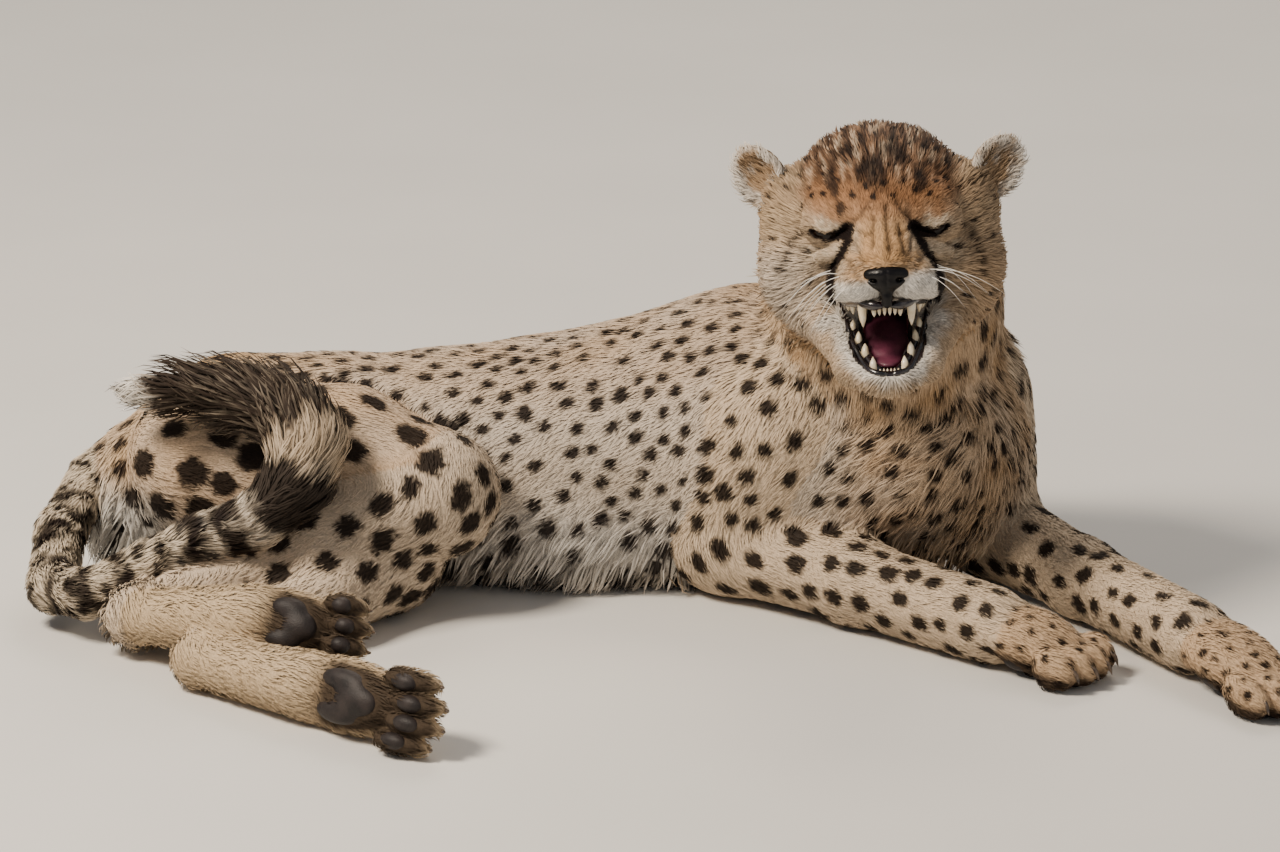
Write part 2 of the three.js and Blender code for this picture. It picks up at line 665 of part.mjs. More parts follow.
/**
 * A closed tapering blade through the points of a path, flat across the given direction, with a
 * point at its end. Widths and thicknesses are half sizes at each point but the last.
 */
function blade(path, across, widths, thicknesses, sides = 4) {
  const vertices = [];
  const triangles = [];
  for (let ring = 0; ring < path.length - 1; ring += 1) {
    const along = path[ring + 1].clone().sub(path[Math.max(ring - 1, 0)]).normalize();
    const wide = across.clone().addScaledVector(along, -across.dot(along)).normalize();
    const thick = along.clone().cross(wide);
    for (let side = 0; side < sides; side += 1) {
      const angle = (2 * Math.PI * side) / sides;
      vertices.push(path[ring].clone().addScaledVector(wide, Math.cos(angle) * widths[ring])
        .addScaledVector(thick, Math.sin(angle) * thicknesses[ring]).toArray());
    }
  }
  const tip = vertices.push(path.at(-1).toArray()) - 1;
  for (let side = 0; side < sides; side += 1) {
    const next = (side + 1) % sides;
    for (let ring = 0; ring < path.length - 2; ring += 1) {
      const [a, b] = [ring * sides + side, ring * sides + next];
      triangles.push([a, b, b + sides], [a, b + sides, a + sides]);
    }
    const last = (path.length - 2) * sides;
    triangles.push([last + side, last + next, tip]);
    if (side > 0 && side < sides - 1) triangles.push([0, next, side]);
  }
  return solidOf({ vertices, triangles });
}

/** Where a line from inside a field leaves it, and which way the surface faces there. */
function surfaceAt({ distance }, from, towards) {
  const way = towards.clone().normalize();
  const point = from.clone();
  for (let step = 0; step < 60; step += 1) {
    const depth = distance(point.x, point.y, point.z);
    if (Math.abs(depth) < 0.05) break;
    point.addScaledVector(way, -depth * 0.8);
  }
  const at = (x, y, z) => distance(point.x + x, point.y + y, point.z + z);
  const slope = V(at(1, 0, 0) - at(-1, 0, 0), at(0, 1, 0) - at(0, -1, 0), at(0, 0, 1) - at(0, 0, -1));
  return { point, normal: slope.normalize() };
}

/**
 * A lock of hair from a place on a field, lying the given way and lifting off towards its tip, and
 * the room it takes up among other hair.
 */
function lock(form, from, towards, lie, { length, width, lift }, index) {
  const { point, normal } = surfaceAt(form, from, towards);
  const size = length * (0.85 + 0.3 * chance(index));
  const sway = (chance(index + 0.5) - 0.5) * 0.35;
  const flow = lie.clone().normalize().addScaledVector(normal.clone().cross(lie).normalize(), sway);
  flow.addScaledVector(normal, -flow.dot(normal)).normalize();
  const at = (ahead, out) => point.clone().addScaledVector(flow, size * ahead)
    .addScaledVector(normal, out);
  const across = normal.clone().cross(flow);
  const shaped = (extra) => blade(
    [at(-0.12, -LOCK_ROOT), at(0.3, lift * 0.45), at(0.68, lift), at(1 + extra * 0.04, lift * 0.7)],
    across,
    [0.35, 0.5, 0.36].map((part) => part * width + extra),
    [0.14, 0.15, 0.1].map((part) => part * width + extra),
  );
  return { hair: shaped(0), room: shaped(2 * CLEARANCE) };
}

const hairOf = (locks) => Manifold.union(locks.map(({ hair }) => hair));
const roomOf = (locks) => Manifold.union(locks.map(({ room }) => room));

/** A body with locks grown on it, the locks cut clear of bodies beside it and of other hair. */
function haired(body, locks, bodies, rooms = []) {
  let hair = above(hairOf(locks));
  for (const other of bodies.filter((one) => near(hair, one))) {
    hair = hair.subtract(swollen(other)).subtract(other);
  }
  for (const room of rooms) if (near(hair, room)) hair = hair.subtract(room);
  return largest(Manifold.union([body, hair.simplify(HAIR_SMOOTHED)]));
}

/** The claws of a paw, one at the tip of each toe. */
function clawsOn({ length, across, place }, { width, depth }) {
  return Array.from({ length: TOES }, (_, toe) => {
    const side = toeSide(toe);
    const tip = toeAhead(length, side) + 0.19 * length;
    const out = CLAW.length - CLAW.root;
    const path = [[-CLAW.root, -0.1], [0.5 * out, -0.08], [out, 0.12]]
      .map(([ahead, down]) => place(tip + ahead, side * width, down * depth));
    return spike(path, across, CLAW.width, CLAW.depth);
  });
}

/** A body joined with the teeth or claws that grow on it. */
const grown = (body, pieces) => largest(Manifold.union([body, ...pieces]));

/** A tooth or claw: a four-sided blade through three places, the first one sunk in its root. */
function spike(path, across, width, depth) {
  return blade(path, across, [width, width * 0.85], [depth, depth * 0.85]);
}

// ---------------------------------------------------------------- assembly
const solids = {};
const named = (...names) => names.map((name) => solids[name]);
const inWorld = (solid) => solid.transform(headMatrix.toArray());

// Trunk and neck, parted at the throat, behind the ribs' middle and in front of the hips.
const trunkField = blend(40, [
  chain(30, Object.values(SPINE)), chain(30, Object.values(NECK)), chain(30, BELLY),
]);
const wholeTrunk = before(above(bodyOf(trunkField, CELL.trunk, 960)), THROAT);
const neckJoint = joint(between(NECK.root.at, NECK.middle.at, 0.35), V(0.05, -0.5, 0.85));
const chestJoint = joint(between(SPINE.belly.at, SPINE.ribs.at), V(1, 0, 0.05));
const hipJoint = joint(between(SPINE.loin.at, SPINE.flank.at, 0.4), V(1, 0.05, 0));
const belowNeck = before(wholeTrunk, neckJoint);
const behindChest = before(belowNeck, chestJoint);
const neckCore = largest(after(wholeTrunk, neckJoint));
const chestCore = largest(after(belowNeck, chestJoint));
const abdomenCore = largest(after(behindChest, hipJoint));
solids.hips = largest(before(behindChest, hipJoint));

// Head.
const eyes = SIDES.map((side) => solidFrom(
  new THREE.SphereGeometry(EYE.radius, 8, 6).rotateX(Math.PI / 2).translate(...eyeAt(side).toArray()),
));
const slits = SIDES.map((side) => solidFrom(
  new THREE.SphereGeometry(1, 12, 6).scale(14, 14, 2.4).rotateY(side * 0.08)
    .translate(side * EYE.out, EYE.back - 14, EYE.up - 1),
));
// The lids close over each eye but for a slit, which opens the socket before its hollow is kept.
let skull = bodyOf(headField(), CELL.head, 1360);
SIDES.forEach((_, i) => { skull = skull.subtract(swollen(eyes[i])).subtract(slits[i]); });
skull = grown(skull, SIDES.flatMap((side) => UPPER_TEETH.map((tooth) => toothOn(side, tooth, -1))));
const nostrils = SIDES.map((side) => solidFrom(
  new THREE.SphereGeometry(1, 6, 4).scale(4.4, 6.5, 3.2).rotateY(side * 0.5).translate(side * 7.5, -107, -28),
));
let nose = cutClear(bodyOf(noseField(), CELL.ear, 110), [skull]);
nostrils.forEach((nostril) => { nose = largest(nose.subtract(nostril)); });
const lowerTeeth = SIDES.flatMap((side) => LOWER_TEETH.map((tooth) => toothOn(side, tooth, 1)));
const jaw = cutClear(grown(bodyOf(jawField(), CELL.head, 330), lowerTeeth), [skull]);
const tongue = cutClear(bodyOf(tongueField(), CELL.tongue, 150), [skull, jaw]);
const ears = SIDES.map((side) => cutClear(bodyOf(earField(side), CELL.ear, 230), [skull]));
const headCore = largest(after(inWorld(skull), THROAT));
solids.nose = inWorld(nose);
solids.lower_jaw = largest(after(inWorld(jaw), THROAT));
solids.tongue = inWorld(tongue);
// The animal faces the viewer's side, so its right is at the low end of x.
['right', 'left'].forEach((name, i) => {
  solids[`ear_${name}`] = inWorld(ears[i]);
  solids[`eye_${name}`] = inWorld(eyes[i]);
});

/** A foreleg on the floor: upper arm, forearm and paw. */
function addForeleg(side, { shoulder, elbow, forearm, wrist, toes }) {
  const frame = footFrame(wrist.at, toes, V(0, 0, -1));
  const elbowJoint = bend(shoulder.at, elbow.at, forearm.at);
  const wristJoint = bend(forearm.at, wrist.at, toes);
  const arm = bodyOf(chain(14, [shoulder, elbow]), CELL.limb, 240);
  const lower = above(bodyOf(blend(12, [
    chain(14, [elbow, forearm, wrist]), pawField(frame, FOREPAW),
  ]), CELL.foot, 460));
  const reach = after(lower, elbowJoint);
  solids[`upper_arm_${side}`] = cutClear(above(before(arm, elbowJoint)), [wholeTrunk]);
  solids[`forearm_${side}`] = cutClear(before(reach, wristJoint), [wholeTrunk]);
  solids[`forepaw_${side}`] = grown(largest(after(reach, wristJoint)), clawsOn(frame, FOREPAW));
}

/** A folded hind leg: thigh, shank and foot, with the sole facing the given way. */
function addHindLeg(side, { hip, thigh, knee, shank, hock, ball, toes }, sole, others) {
  const kneeJoint = bend(thigh.at, knee.at, shank.at);
  const hockJoint = bend(shank.at, hock.at, ball);
  const upper = before(above(bodyOf(chain(16, [hip, thigh, knee]), CELL.limb + 1, 280)), kneeJoint);
  const middle = after(above(bodyOf(chain(14, [knee, shank, hock]), CELL.limb, 240)), kneeJoint);
  const frame = footFrame(ball, toes, sole);
  const foot = after(above(bodyOf(blend(10, [
    limb(hock.at, ball, hock.radius, 25), pawField(frame, HIND_PAW),
  ]), CELL.foot, 330)), hockJoint);
  const clear = (solid) => cutClear(solid, [wholeTrunk, ...others]);
  solids[`thigh_${side}`] = clear(upper);
  solids[`shank_${side}`] = cutClear(clear(before(middle, hockJoint)), named(`thigh_${side}`));
  const clearFoot = cutClear(clear(foot), named(`shank_${side}`));
  solids[`hind_foot_${side}`] = grown(clearFoot, clawsOn(frame, HIND_PAW));
}

addForeleg('right', FORELEG_RIGHT);
addForeleg('left', FORELEG_LEFT);
addHindLeg('left', HINDLEG_LEFT, V(-0.5, -0.75, 0.3), []);
addHindLeg('right', HINDLEG_RIGHT, V(-0.1, -0.85, 0.4), named('thigh_left', 'shank_left', 'hind_foot_left'));
const hindLegs = Object.keys(solids).filter((name) => /^(thigh|shank|hind_foot)_/.test(name));

// Tail: each length is meshed with a station of its neighbours and parted at their joints.
const tailCores = TAIL_JOINTS.slice(1).map((to, length) => {
  const from = TAIL_JOINTS[length];
  const stations = TAIL.slice(Math.max(from - 1, 0), to + 2);
  const jointAt = (i) => bend(TAIL[i - 1].at, TAIL[i].at, TAIL[i + 1].at);
  let piece = above(bodyOf(chain(10, stations), CELL.limb, 130));
  if (from > 0) piece = after(piece, jointAt(from));
  if (to < TAIL.length - 1) piece = before(piece, jointAt(to));
  return cutClear(piece, [wholeTrunk, ...named(...hindLegs)]);
});

// ---------------------------------------------------------------- long hair
/** A ring of locks round the neck or down the breast, hanging downwards and a little back. */
function ringLocks({ at, slope, from, to, count }, seed) {
  return Array.from({ length: count }, (_, i) => {
    const shift = 0.5 * (seed % 2);
    const angle = THREE.MathUtils.degToRad(from + ((to - from) * (i + shift)) / (count - 1));
    const out = V(Math.cos(angle), Math.sin(angle), slope * Math.sin(angle));
    const lie = V(0.1 * out.x, 0.2 + 0.5 * Math.max(out.y, 0), -1);
    return lock(trunkField, at, out, lie, MANE, 40 * seed + i);
  });
}

/** The locks of the ruff behind one cheek, in the head's own frame. */
function ruffLocks(side) {
  return RUFF.angles.map((degrees, i) => {
    const angle = THREE.MathUtils.degToRad(degrees);
    const out = V(side * Math.cos(angle), 0.15, Math.sin(angle));
    return lock(headField(), RUFF.at, out, V(-0.2 * side, 0.75, -1), RUFF, 300 + 10 * side + i);
  });
}

/** The fringe of long pale hair along the lower edge of the flank. */
function fringeLocks() {
  return FRINGE.heights.flatMap((height, row) => Array.from({ length: FRINGE.count }, (_, i) => {
    const x = FRINGE.from + ((FRINGE.to - FRINGE.from) * (i + 0.5 * row)) / (FRINGE.count - 0.5);
    const from = V(x, SPINE.belly.at.y, height);
    return lock(trunkField, from, V(0, -1, 0), V(-0.7, 0, -1), FRINGE, 400 + 20 * row + i);
  }));
}

/** Rings of locks round the tail between two of its stations, lying towards its tip. */
function brushLocks(first, last) {
  const form = chain(10, TAIL);
  const locks = [];
  for (let i = first; i < last; i += 1) {
    const [from, to] = [TAIL[i].at, TAIL[i + 1].at];
    const lie = to.clone().sub(from);
    const rings = Math.max(1, Math.round(lie.length() / BRUSH.step));
    const one = V(0.2, 0.3, 1).cross(lie).normalize();
    const two = lie.clone().cross(one).normalize();
    for (let ring = 0; ring < rings; ring += 1) {
      const { radius } = TAIL[i];
      const around = clamp(Math.round((2 * Math.PI * radius) / BRUSH.spacing), 3, 4);
      const size = { ...BRUSH, width: Math.min(BRUSH.width, 1.3 * radius) };
      for (let k = 0; k < around; k += 1) {
        const angle = (Math.PI * (2 * k + ((i + ring) % 2))) / around;
        const out = one.clone().multiplyScalar(Math.cos(angle)).addScaledVector(two, Math.sin(angle));
        const at = between(from, to, (ring + 0.3) / rings);
        locks.push(lock(form, at, out, lie, size, 500 + 50 * i + 10 * ring + k));
      }
    }
  }
  return locks;
}

const napeLocks = NAPE_RINGS.flatMap((ring, i) => ringLocks(ring, i));
const bibLocks = BIB_RINGS.flatMap((ring, i) => ringLocks(ring, NAPE_RINGS.length + i));
const ruff = SIDES.flatMap(ruffLocks)
  .map(({ hair, room }) => ({ hair: inWorld(hair), room: inWorld(room) }));
const forelegs = named('upper_arm_right', 'upper_arm_left', 'forearm_right', 'forearm_left');
const face = named('lower_jaw', 'tongue', 'ear_right', 'ear_left', 'nose', 'eye_right', 'eye_left');
solids.head = haired(headCore, ruff, [neckCore, ...face]);
const besideNeck = [headCore, chestCore, solids.lower_jaw, ...forelegs];
solids.neck = haired(neckCore, napeLocks, besideNeck, [roomOf(ruff)]);
const hanging = [roomOf(ruff), roomOf(napeLocks)];
solids.chest = haired(chestCore, bibLocks, [headCore, neckCore, abdomenCore, ...forelegs], hanging);
solids.abdomen = haired(abdomenCore, fringeLocks(), [chestCore, solids.hips, ...named(...hindLegs)]);
tailCores.forEach((core, i) => {
  const locks = (length) => brushLocks(Math.max(TAIL_JOINTS[length], 1), TAIL_JOINTS[length + 1]);
  const beside = [solids.hips, ...named(...hindLegs), ...tailCores.filter((other) => other !== core)];
  const rooms = i > 0 ? [roomOf(locks(i - 1))] : [];
  solids[`tail_${i + 1}`] = haired(core, locks(i), beside, rooms);
});

// ---------------------------------------------------------------- the finished group
const finish = (color, roughness = 0.9) => new THREE.MeshStandardMaterial({ color, roughness, metalness: 0 });
const FINISHES = {
  nose: finish(COLOUR.nose, 0.45), tongue: finish(COLOUR.tongue, 0.35),
  eye_right: finish(COLOUR.eye, 0.1), eye_left: finish(COLOUR.eye, 0.1),
  head: finish(COLOUR.rust), neck: finish(COLOUR.sand), abdomen: finish(COLOUR.cream),
  tail_4: finish(COLOUR.dark),
};

const group = new THREE.Group();
for (const [name, solid] of Object.entries(solids)) {
  const { vertices, triangles } = meshOf(solid);
  const geometry = new THREE.BufferGeometry();
  geometry.setAttribute('position', new THREE.Float32BufferAttribute(vertices.flat(), 3));
  geometry.setIndex(triangles.flat());
  const mesh = new THREE.Mesh(geometry, FINISHES[name] ?? finish(COLOUR.buff));
  mesh.name = name;
  group.add(mesh);
}
const bounds = new THREE.Box3().setFromObject(group);
const middle = bounds.getCenter(V(0, 0, 0));
group.position.set(-middle.x, -middle.y, -bounds.min.z);
group.updateMatrixWorld(true);

export default group;
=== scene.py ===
"""A young cheetah lying with its mouth open, as a life-size model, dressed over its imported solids.

The body is a set of tapering limbs and eggs run into one another, with the same sizes as the solids.
Their common surface, taken in by the depth of the coat, is the skin. The coat is made of tufts that
grow from the skin along the lie of the hair. Lengths are millimetres in the part's own source frame
until a mesh is written, which turns them to metres in the row frame.
"""

import logging
import math
from dataclasses import dataclass, field, replace
from enum import IntEnum
from typing import Iterable, Optional, Sequence

import bpy
import numpy as np
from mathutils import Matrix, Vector
from mathutils.kdtree import KDTree

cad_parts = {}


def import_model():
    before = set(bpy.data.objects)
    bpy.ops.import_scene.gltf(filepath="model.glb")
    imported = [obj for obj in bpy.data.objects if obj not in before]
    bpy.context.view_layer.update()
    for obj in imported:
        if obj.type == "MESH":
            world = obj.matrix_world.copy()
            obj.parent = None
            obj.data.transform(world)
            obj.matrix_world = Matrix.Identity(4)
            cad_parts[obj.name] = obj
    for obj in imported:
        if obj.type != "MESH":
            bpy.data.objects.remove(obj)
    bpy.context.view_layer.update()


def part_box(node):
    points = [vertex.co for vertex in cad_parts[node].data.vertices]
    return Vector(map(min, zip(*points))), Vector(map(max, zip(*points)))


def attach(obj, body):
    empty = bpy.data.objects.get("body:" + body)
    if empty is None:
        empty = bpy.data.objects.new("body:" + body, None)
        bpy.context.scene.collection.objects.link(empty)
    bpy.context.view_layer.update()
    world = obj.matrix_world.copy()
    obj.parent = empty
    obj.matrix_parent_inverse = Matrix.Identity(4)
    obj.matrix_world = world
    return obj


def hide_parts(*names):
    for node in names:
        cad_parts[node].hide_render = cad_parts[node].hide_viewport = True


log = logging.getLogger("cheetah")

Array = np.ndarray
Point = tuple[float, float, float]
Line = tuple[tuple[float, float], ...]  # corners as x and height
Mesh = tuple[Array, Array]  # vertices, and faces by vertex numbers
SIDES = (-1, 1)  # the animal's right and left


# ---------------------------------------------------------------- small helpers
def linear(code: str) -> tuple[float, ...]:
    """Turns an sRGB hex colour such as "#c9a781" to linear red, green and blue.

    Args:
        code: Six hex digits after a hash.

    Returns:
        Three linear values from 0 to 1.
    """
    values = [int(code[i : i + 2], 16) / 255 for i in (1, 3, 5)]
    return tuple(v / 12.92 if v <= 0.04045 else ((v + 0.055) / 1.055) ** 2.4 for v in values)


def unit(vectors: Array) -> Array:
    """Scales vectors, one a row, to length one."""
    return vectors / np.maximum(np.linalg.norm(vectors, axis=-1, keepdims=True), 1e-9)


def smooth(low: float, high: float, values: Array) -> Array:
    """Rises smoothly from 0 at low to 1 at high, or falls where low is the higher.

    Args:
        low: Where the result is 0.
        high: Where the result is 1.
        values: The values to map.

    Returns:
        The mapped values.
    """
    t = np.clip((values - low) / (high - low), 0, 1)
    return t * t * (3 - 2 * t)


def waves(points: Array, size: float, seed: int) -> Array:
    """Gentle seeded noise from -1 to 1 made of a few plane waves.

    Args:
        points: Places in millimetres, one a row.
        size: About how far apart its hills are, in millimetres.
        seed: Picks the waves.

    Returns:
        One value for each place.
    """
    rng = np.random.default_rng(seed)
    total = np.zeros(len(points))
    for _ in range(7):
        direction = unit(rng.normal(size=3)) * (2 * math.pi / (size * rng.uniform(0.7, 1.5)))
        total += np.sin(points @ direction + rng.uniform(0, 2 * math.pi))
    return np.clip(total / 3.2, -1, 1)


def rotation(*degrees: float) -> Array:
    """A turn about x, then y, then z, as a 3 by 3 matrix.

    Args:
        degrees: The angles, of which the last may be left out.

    Returns:
        The matrix.
    """
    whole = np.eye(3)
    for axis, angle in enumerate(map(math.radians, degrees)):
        u, v, turn = (axis + 1) % 3, (axis + 2) % 3, np.eye(3)
        turn[u, u] = turn[v, v] = math.cos(angle)
        turn[v, u], turn[u, v] = math.sin(angle), -math.sin(angle)
        whole = turn @ whole
    return whole


def search_tree(points: Array, numbers: Iterable[int]) -> KDTree:
    """Some of the points, by their numbers, sorted for searching.

    Args:
        points: Places, one a row.
        numbers: Which of them to search.

    Returns:
        The search tree, which gives back their numbers.
    """
    tree = KDTree(len(points))
    for number in numbers:
        tree.insert(points[number], int(number))
    tree.balance()
    return tree


# ---------------------------------------------------------------- materials
def add_node(tree: bpy.types.NodeTree, kind: str, settings: dict = {}, **inputs: object) -> bpy.types.Node:
    """Adds one node with its settings, values and links.

    Args:
        tree: The material's node tree.
        kind: The node's Blender type, after "ShaderNode".
        settings: Attributes of the node to set.
        inputs: By input name, with _ for a space, a value or the output socket to link from.

    Returns:
        The new node.
    """
    node = tree.nodes.new("ShaderNode" + kind)
    for name, value in settings.items():
        setattr(node, name, value)
    for name, value in inputs.items():
        socket = node.inputs[name.replace("_", " ")]
        if isinstance(value, bpy.types.NodeSocket):
            tree.links.new(value, socket)
        else:
            socket.default_value = value
    return node


@dataclass(frozen=True)
class Finish:
    """Bare tissue, horn or tooth: one colour clouded by another, with a grain of a real size.

    Attributes:
        name: What the real material is.
        colour: Its main colour.
        second: The colour that clouds it.
        cloud_mm: Size of the clouds.
        grain_mm: Size of the surface grain.
        bump_mm: Height of the grain.
        roughness: From 0, a mirror, to 1, chalk.
        specular: Strength of the reflection, 0.5 for common materials.
        coat: Weight of a wet film over it.
        pebbled: Whether the grain is cells, as on leather, and not soft noise.
        detail: Octaves of the grain.
        relief: Share of the bump that shows.
    """

    name: str
    colour: str
    second: str
    cloud_mm: float = 12.0
    grain_mm: float = 1.0
    bump_mm: float = 0.1
    roughness: float = 0.5
    specular: float = 0.5
    coat: float = 0.0
    pebbled: bool = False
    detail: float = 2.0
    relief: float = 0.7

    def tint(self, tree: bpy.types.NodeTree, place: object, grain: object) -> bpy.types.NodeSocket:
        """Its colour: two colours in clouds, at a place given by a socket.

        Args:
            tree: The material's node tree.
            place: The socket that gives the place.
            grain: The grain's socket; not used.

        Returns:
            The colour's socket.
        """
        cloud = add_node(tree, "TexNoise", Vector=place, Scale=1000 / self.cloud_mm, Detail=3.0)
        ramp = add_node(tree, "ValToRGB", Fac=cloud.outputs["Fac"])
        for end, at, code in zip(ramp.color_ramp.elements, (0.35, 0.68), (self.colour, self.second)):
            end.position, end.color = at, (*linear(code), 1)
        return ramp.outputs["Color"]

    def material(self) -> bpy.types.Material:
        """The material, whose node tree is built once."""
        if made := bpy.data.materials.get(self.name):
            return made
        made = bpy.data.materials.new(self.name)
        made.use_nodes = True
        tree = made.node_tree
        tree.nodes.clear()
        place = add_node(tree, "TexCoord").outputs["Object"]
        kind, result = ("TexVoronoi", "Distance") if self.pebbled else ("TexNoise", "Fac")
        octaves = 0.0 if self.pebbled else self.detail
        grain = add_node(tree, kind, Vector=place, Scale=1000 / self.grain_mm, Detail=octaves).outputs[result]
        tint = self.tint(tree, place, grain)
        shader = add_node(tree, "BsdfPrincipled", Base_Color=tint, Roughness=self.roughness,
                          Specular_IOR_Level=self.specular, Coat_Weight=self.coat, Coat_Roughness=0.12)
        if self.bump_mm:
            bump = add_node(tree, "Bump", {"invert": self.pebbled}, Height=grain, Strength=self.relief,
                            Distance=self.bump_mm / 1000)
            tree.links.new(bump.outputs["Normal"], shader.inputs["Normal"])
        add_node(tree, "OutputMaterial", Surface=shader.outputs["BSDF"])
        return made


@dataclass(frozen=True)
class Fur(Finish):
    """Hair whose colour comes with its mesh, varied by its grain between a low and a high share.

    Attributes:
        vary: The two shares.
        root_shade: How much of its light the root keeps under the hair round it, or 1 for even shade.
    """

    vary: tuple[float, float] = (0.9, 1.1)
    root_shade: float = 1.0

    def tint(self, tree: bpy.types.NodeTree, place: object, grain: object) -> bpy.types.NodeSocket:
        """Its colour: that of the mesh, varied by the grain, with painted shade at the root and painted light
        at the tip.

        Args:
            tree: The material's node tree.
            place: The socket that gives the place; not used.
            grain: The grain's socket.

        Returns:
            The colour's socket.
        """
        share = add_node(tree, "MapRange", Value=grain, From_Min=0.3, From_Max=0.7,
                         To_Min=self.vary[0], To_Max=self.vary[1]).outputs["Result"]
        # Painted shade at the root, rising to painted light at the tip.
        if self.root_shade < 1:
            along = add_node(tree, "Attribute", {"attribute_name": "along"}).outputs["Fac"]
            shade = add_node(tree, "MapRange", Value=along, To_Min=self.root_shade, To_Max=1.12)
            product = add_node(tree, "Math", {"operation": "MULTIPLY"})
            for socket, source in zip(product.inputs, (shade.outputs["Result"], share)):
                tree.links.new(source, socket)
            share = product.outputs["Value"]
        own = add_node(tree, "Attribute", {"attribute_name": "coat"}).outputs["Color"]
        return add_node(tree, "VectorMath", {"operation": "SCALE"}, Vector=own, Scale=share).outputs["Vector"]


# Guard hair: dry and soft, with a weak shine along each clump, and painted shade at the root, rising to
# painted light at the tip, that gives depth.
GUARD_HAIR = Fur("dry_guard_hair", "", "", grain_mm=2.2, bump_mm=0, roughness=0.62, specular=0.1,
                 root_shade=0.6)
# Underfur: dense, short, dull and fine-grained, seen between the guard hairs. Its grain of 1.6 mm is
# coarser than real hair, which would be too fine to show.
UNDERFUR = Fur("dense_underfur", "", "", grain_mm=1.6, bump_mm=0.8, roughness=0.85, specular=0.12, detail=3.0,
               relief=0.5, vary=(0.62, 0.98))
# Nose leather: bare pebbled skin, black, with a moist sheen that picks out its grain.
NOSE_LEATHER = Finish("bare_nose_leather", "#060506", "#0d0b0e", 9, 0.9, 0.14, 0.33, 0.26, 0.0, True)
# Foot pad: thick dry skin, grey-black, clouded with a scuffed paler grey.
PAD_LEATHER = Finish("dry_pad_leather", "#1b1717", "#322b29", 14, 1.0, 0.22, 0.56, 0.3, 0.0, True)
# Lip and gum: wet black mucous skin with soft highlights.
LIP_SKIN = Finish("wet_lip_skin", "#0c090b", "#1d1316", 8, 2.2, 0.12, 0.22, 0.6, 0.6)
# Tongue: wet muscle, dark plum, rough with fine papillae.
TONGUE = Finish("wet_tongue", "#461a2c", "#632c41", 16, 0.9, 0.22, 0.5, 0.4, 0.12, True)
# Palate: wet, ridged and dark red, deep in shade.
PALATE = Finish("wet_palate", "#4e1a26", "#6b2a36", 10, 2.0, 0.2, 0.35, 0.5, 0.4)
# Tooth enamel: glossy, ivory, clouded yellower and paler.
ENAMEL = Finish("tooth_enamel", "#dcc9a4", "#efe4cd", 7, 3.0, 0.03, 0.22, 0.55, 0.3)
# Claw horn: smooth dark keratin with pale streaks, dull from wear.
CLAW_HORN = Finish("claw_horn", "#2a2320", "#6b5a4a", 4, 1.2, 0.05, 0.4)
# Whisker: stiff translucent hair, white, with a clean shine.
WHISKER_HAIR = Finish("whisker_hair", "#e9e4da", "#f7f4ee", 20, 3.0, 0.01, 0.35)
# Eyeball: polished glass, its amber painted near black for the shade it lies in, barely seen between the
# lids.
SHADED_EYE_GLASS = Finish("amber_eye_glass", "#0d0705", "#1d1008", 6, 2.0, 0.02, 0.12, 0.2, 0.1)
# Studio paper: matt, pale and warm.
PALE_FLOOR = Finish("matt_studio_paper", "#d8d6d1", "#dcdad5", 300, 4, 0.01, 0.9, 0.1)


# ---------------------------------------------------------------- fields
@dataclass(frozen=True)
class Limb:
    """A limb that tapers from one end to the other, with round ends."""

    start: Point
    end: Point
    start_radius: float
    end_radius: float

    def box(self) -> tuple[Array, Array]:
        """Lowest and highest corner of the limb."""
        reach, ends = max(self.start_radius, self.end_radius), np.array((self.start, self.end), float)
        return ends.min(0) - reach, ends.max(0) + reach

    def along(self, points: Array) -> Array:
        """How far along the limb each point is, from 0 to 1."""
        step = np.subtract(self.end, self.start).astype(float)
        return np.clip(((points - np.array(self.start, float)) @ step) / (step @ step), 0, 1)

    def distance(self, points: Array) -> Array:
        """Signed distance of each point from the surface, negative inside.

        Args:
            points: Places, along the last axis.

        Returns:
            One distance for each.
        """
        start, t = np.array(self.start, float), self.along(points)
        off = np.linalg.norm(points - start - t[..., None] * (np.array(self.end, float) - start), axis=-1)
        return off - (self.start_radius + (self.end_radius - self.start_radius) * t)


@dataclass(frozen=True)
class Egg:
    """An ellipsoid, whose axes are the columns of a turn."""

    centre: Point
    radii: Point
    turn: Optional[Array] = None

    def box(self) -> tuple[Array, Array]:
        """Lowest and highest corner of a box round the egg."""
        centre, reach = np.array(self.centre, float), max(self.radii)
        return centre - reach, centre + reach

    def distance(self, points: Array) -> Array:
        """Signed distance of each point from the surface, close to true near it.

        Args:
            points: Places, along the last axis.

        Returns:
            One distance for each.
        """
        local = points - np.array(self.centre, float)
        local = local if self.turn is None else local @ self.turn
        radii = np.array(self.radii, float)
        near = np.linalg.norm(local / radii, axis=-1)
        return near * (near - 1) / np.maximum(np.linalg.norm(local / radii**2, axis=-1), 1e-6)


Form = Limb | Egg


def both(form: Form) -> list[Form]:
    """A form of the animal's left side, mirrored to the right and as it is."""
    ends = {key: value for key, value in vars(form).items() if key in ("centre", "start", "end")}
    return [replace(form, **{key: (side * x, y, z) for key, (x, y, z) in ends.items()}) for side in SIDES]


def nearest(forms: Iterable[Form], points: Array) -> Array:
    """Signed distance of each point from the nearest of some forms."""
    return np.min([form.distance(points) for form in forms], axis=0)


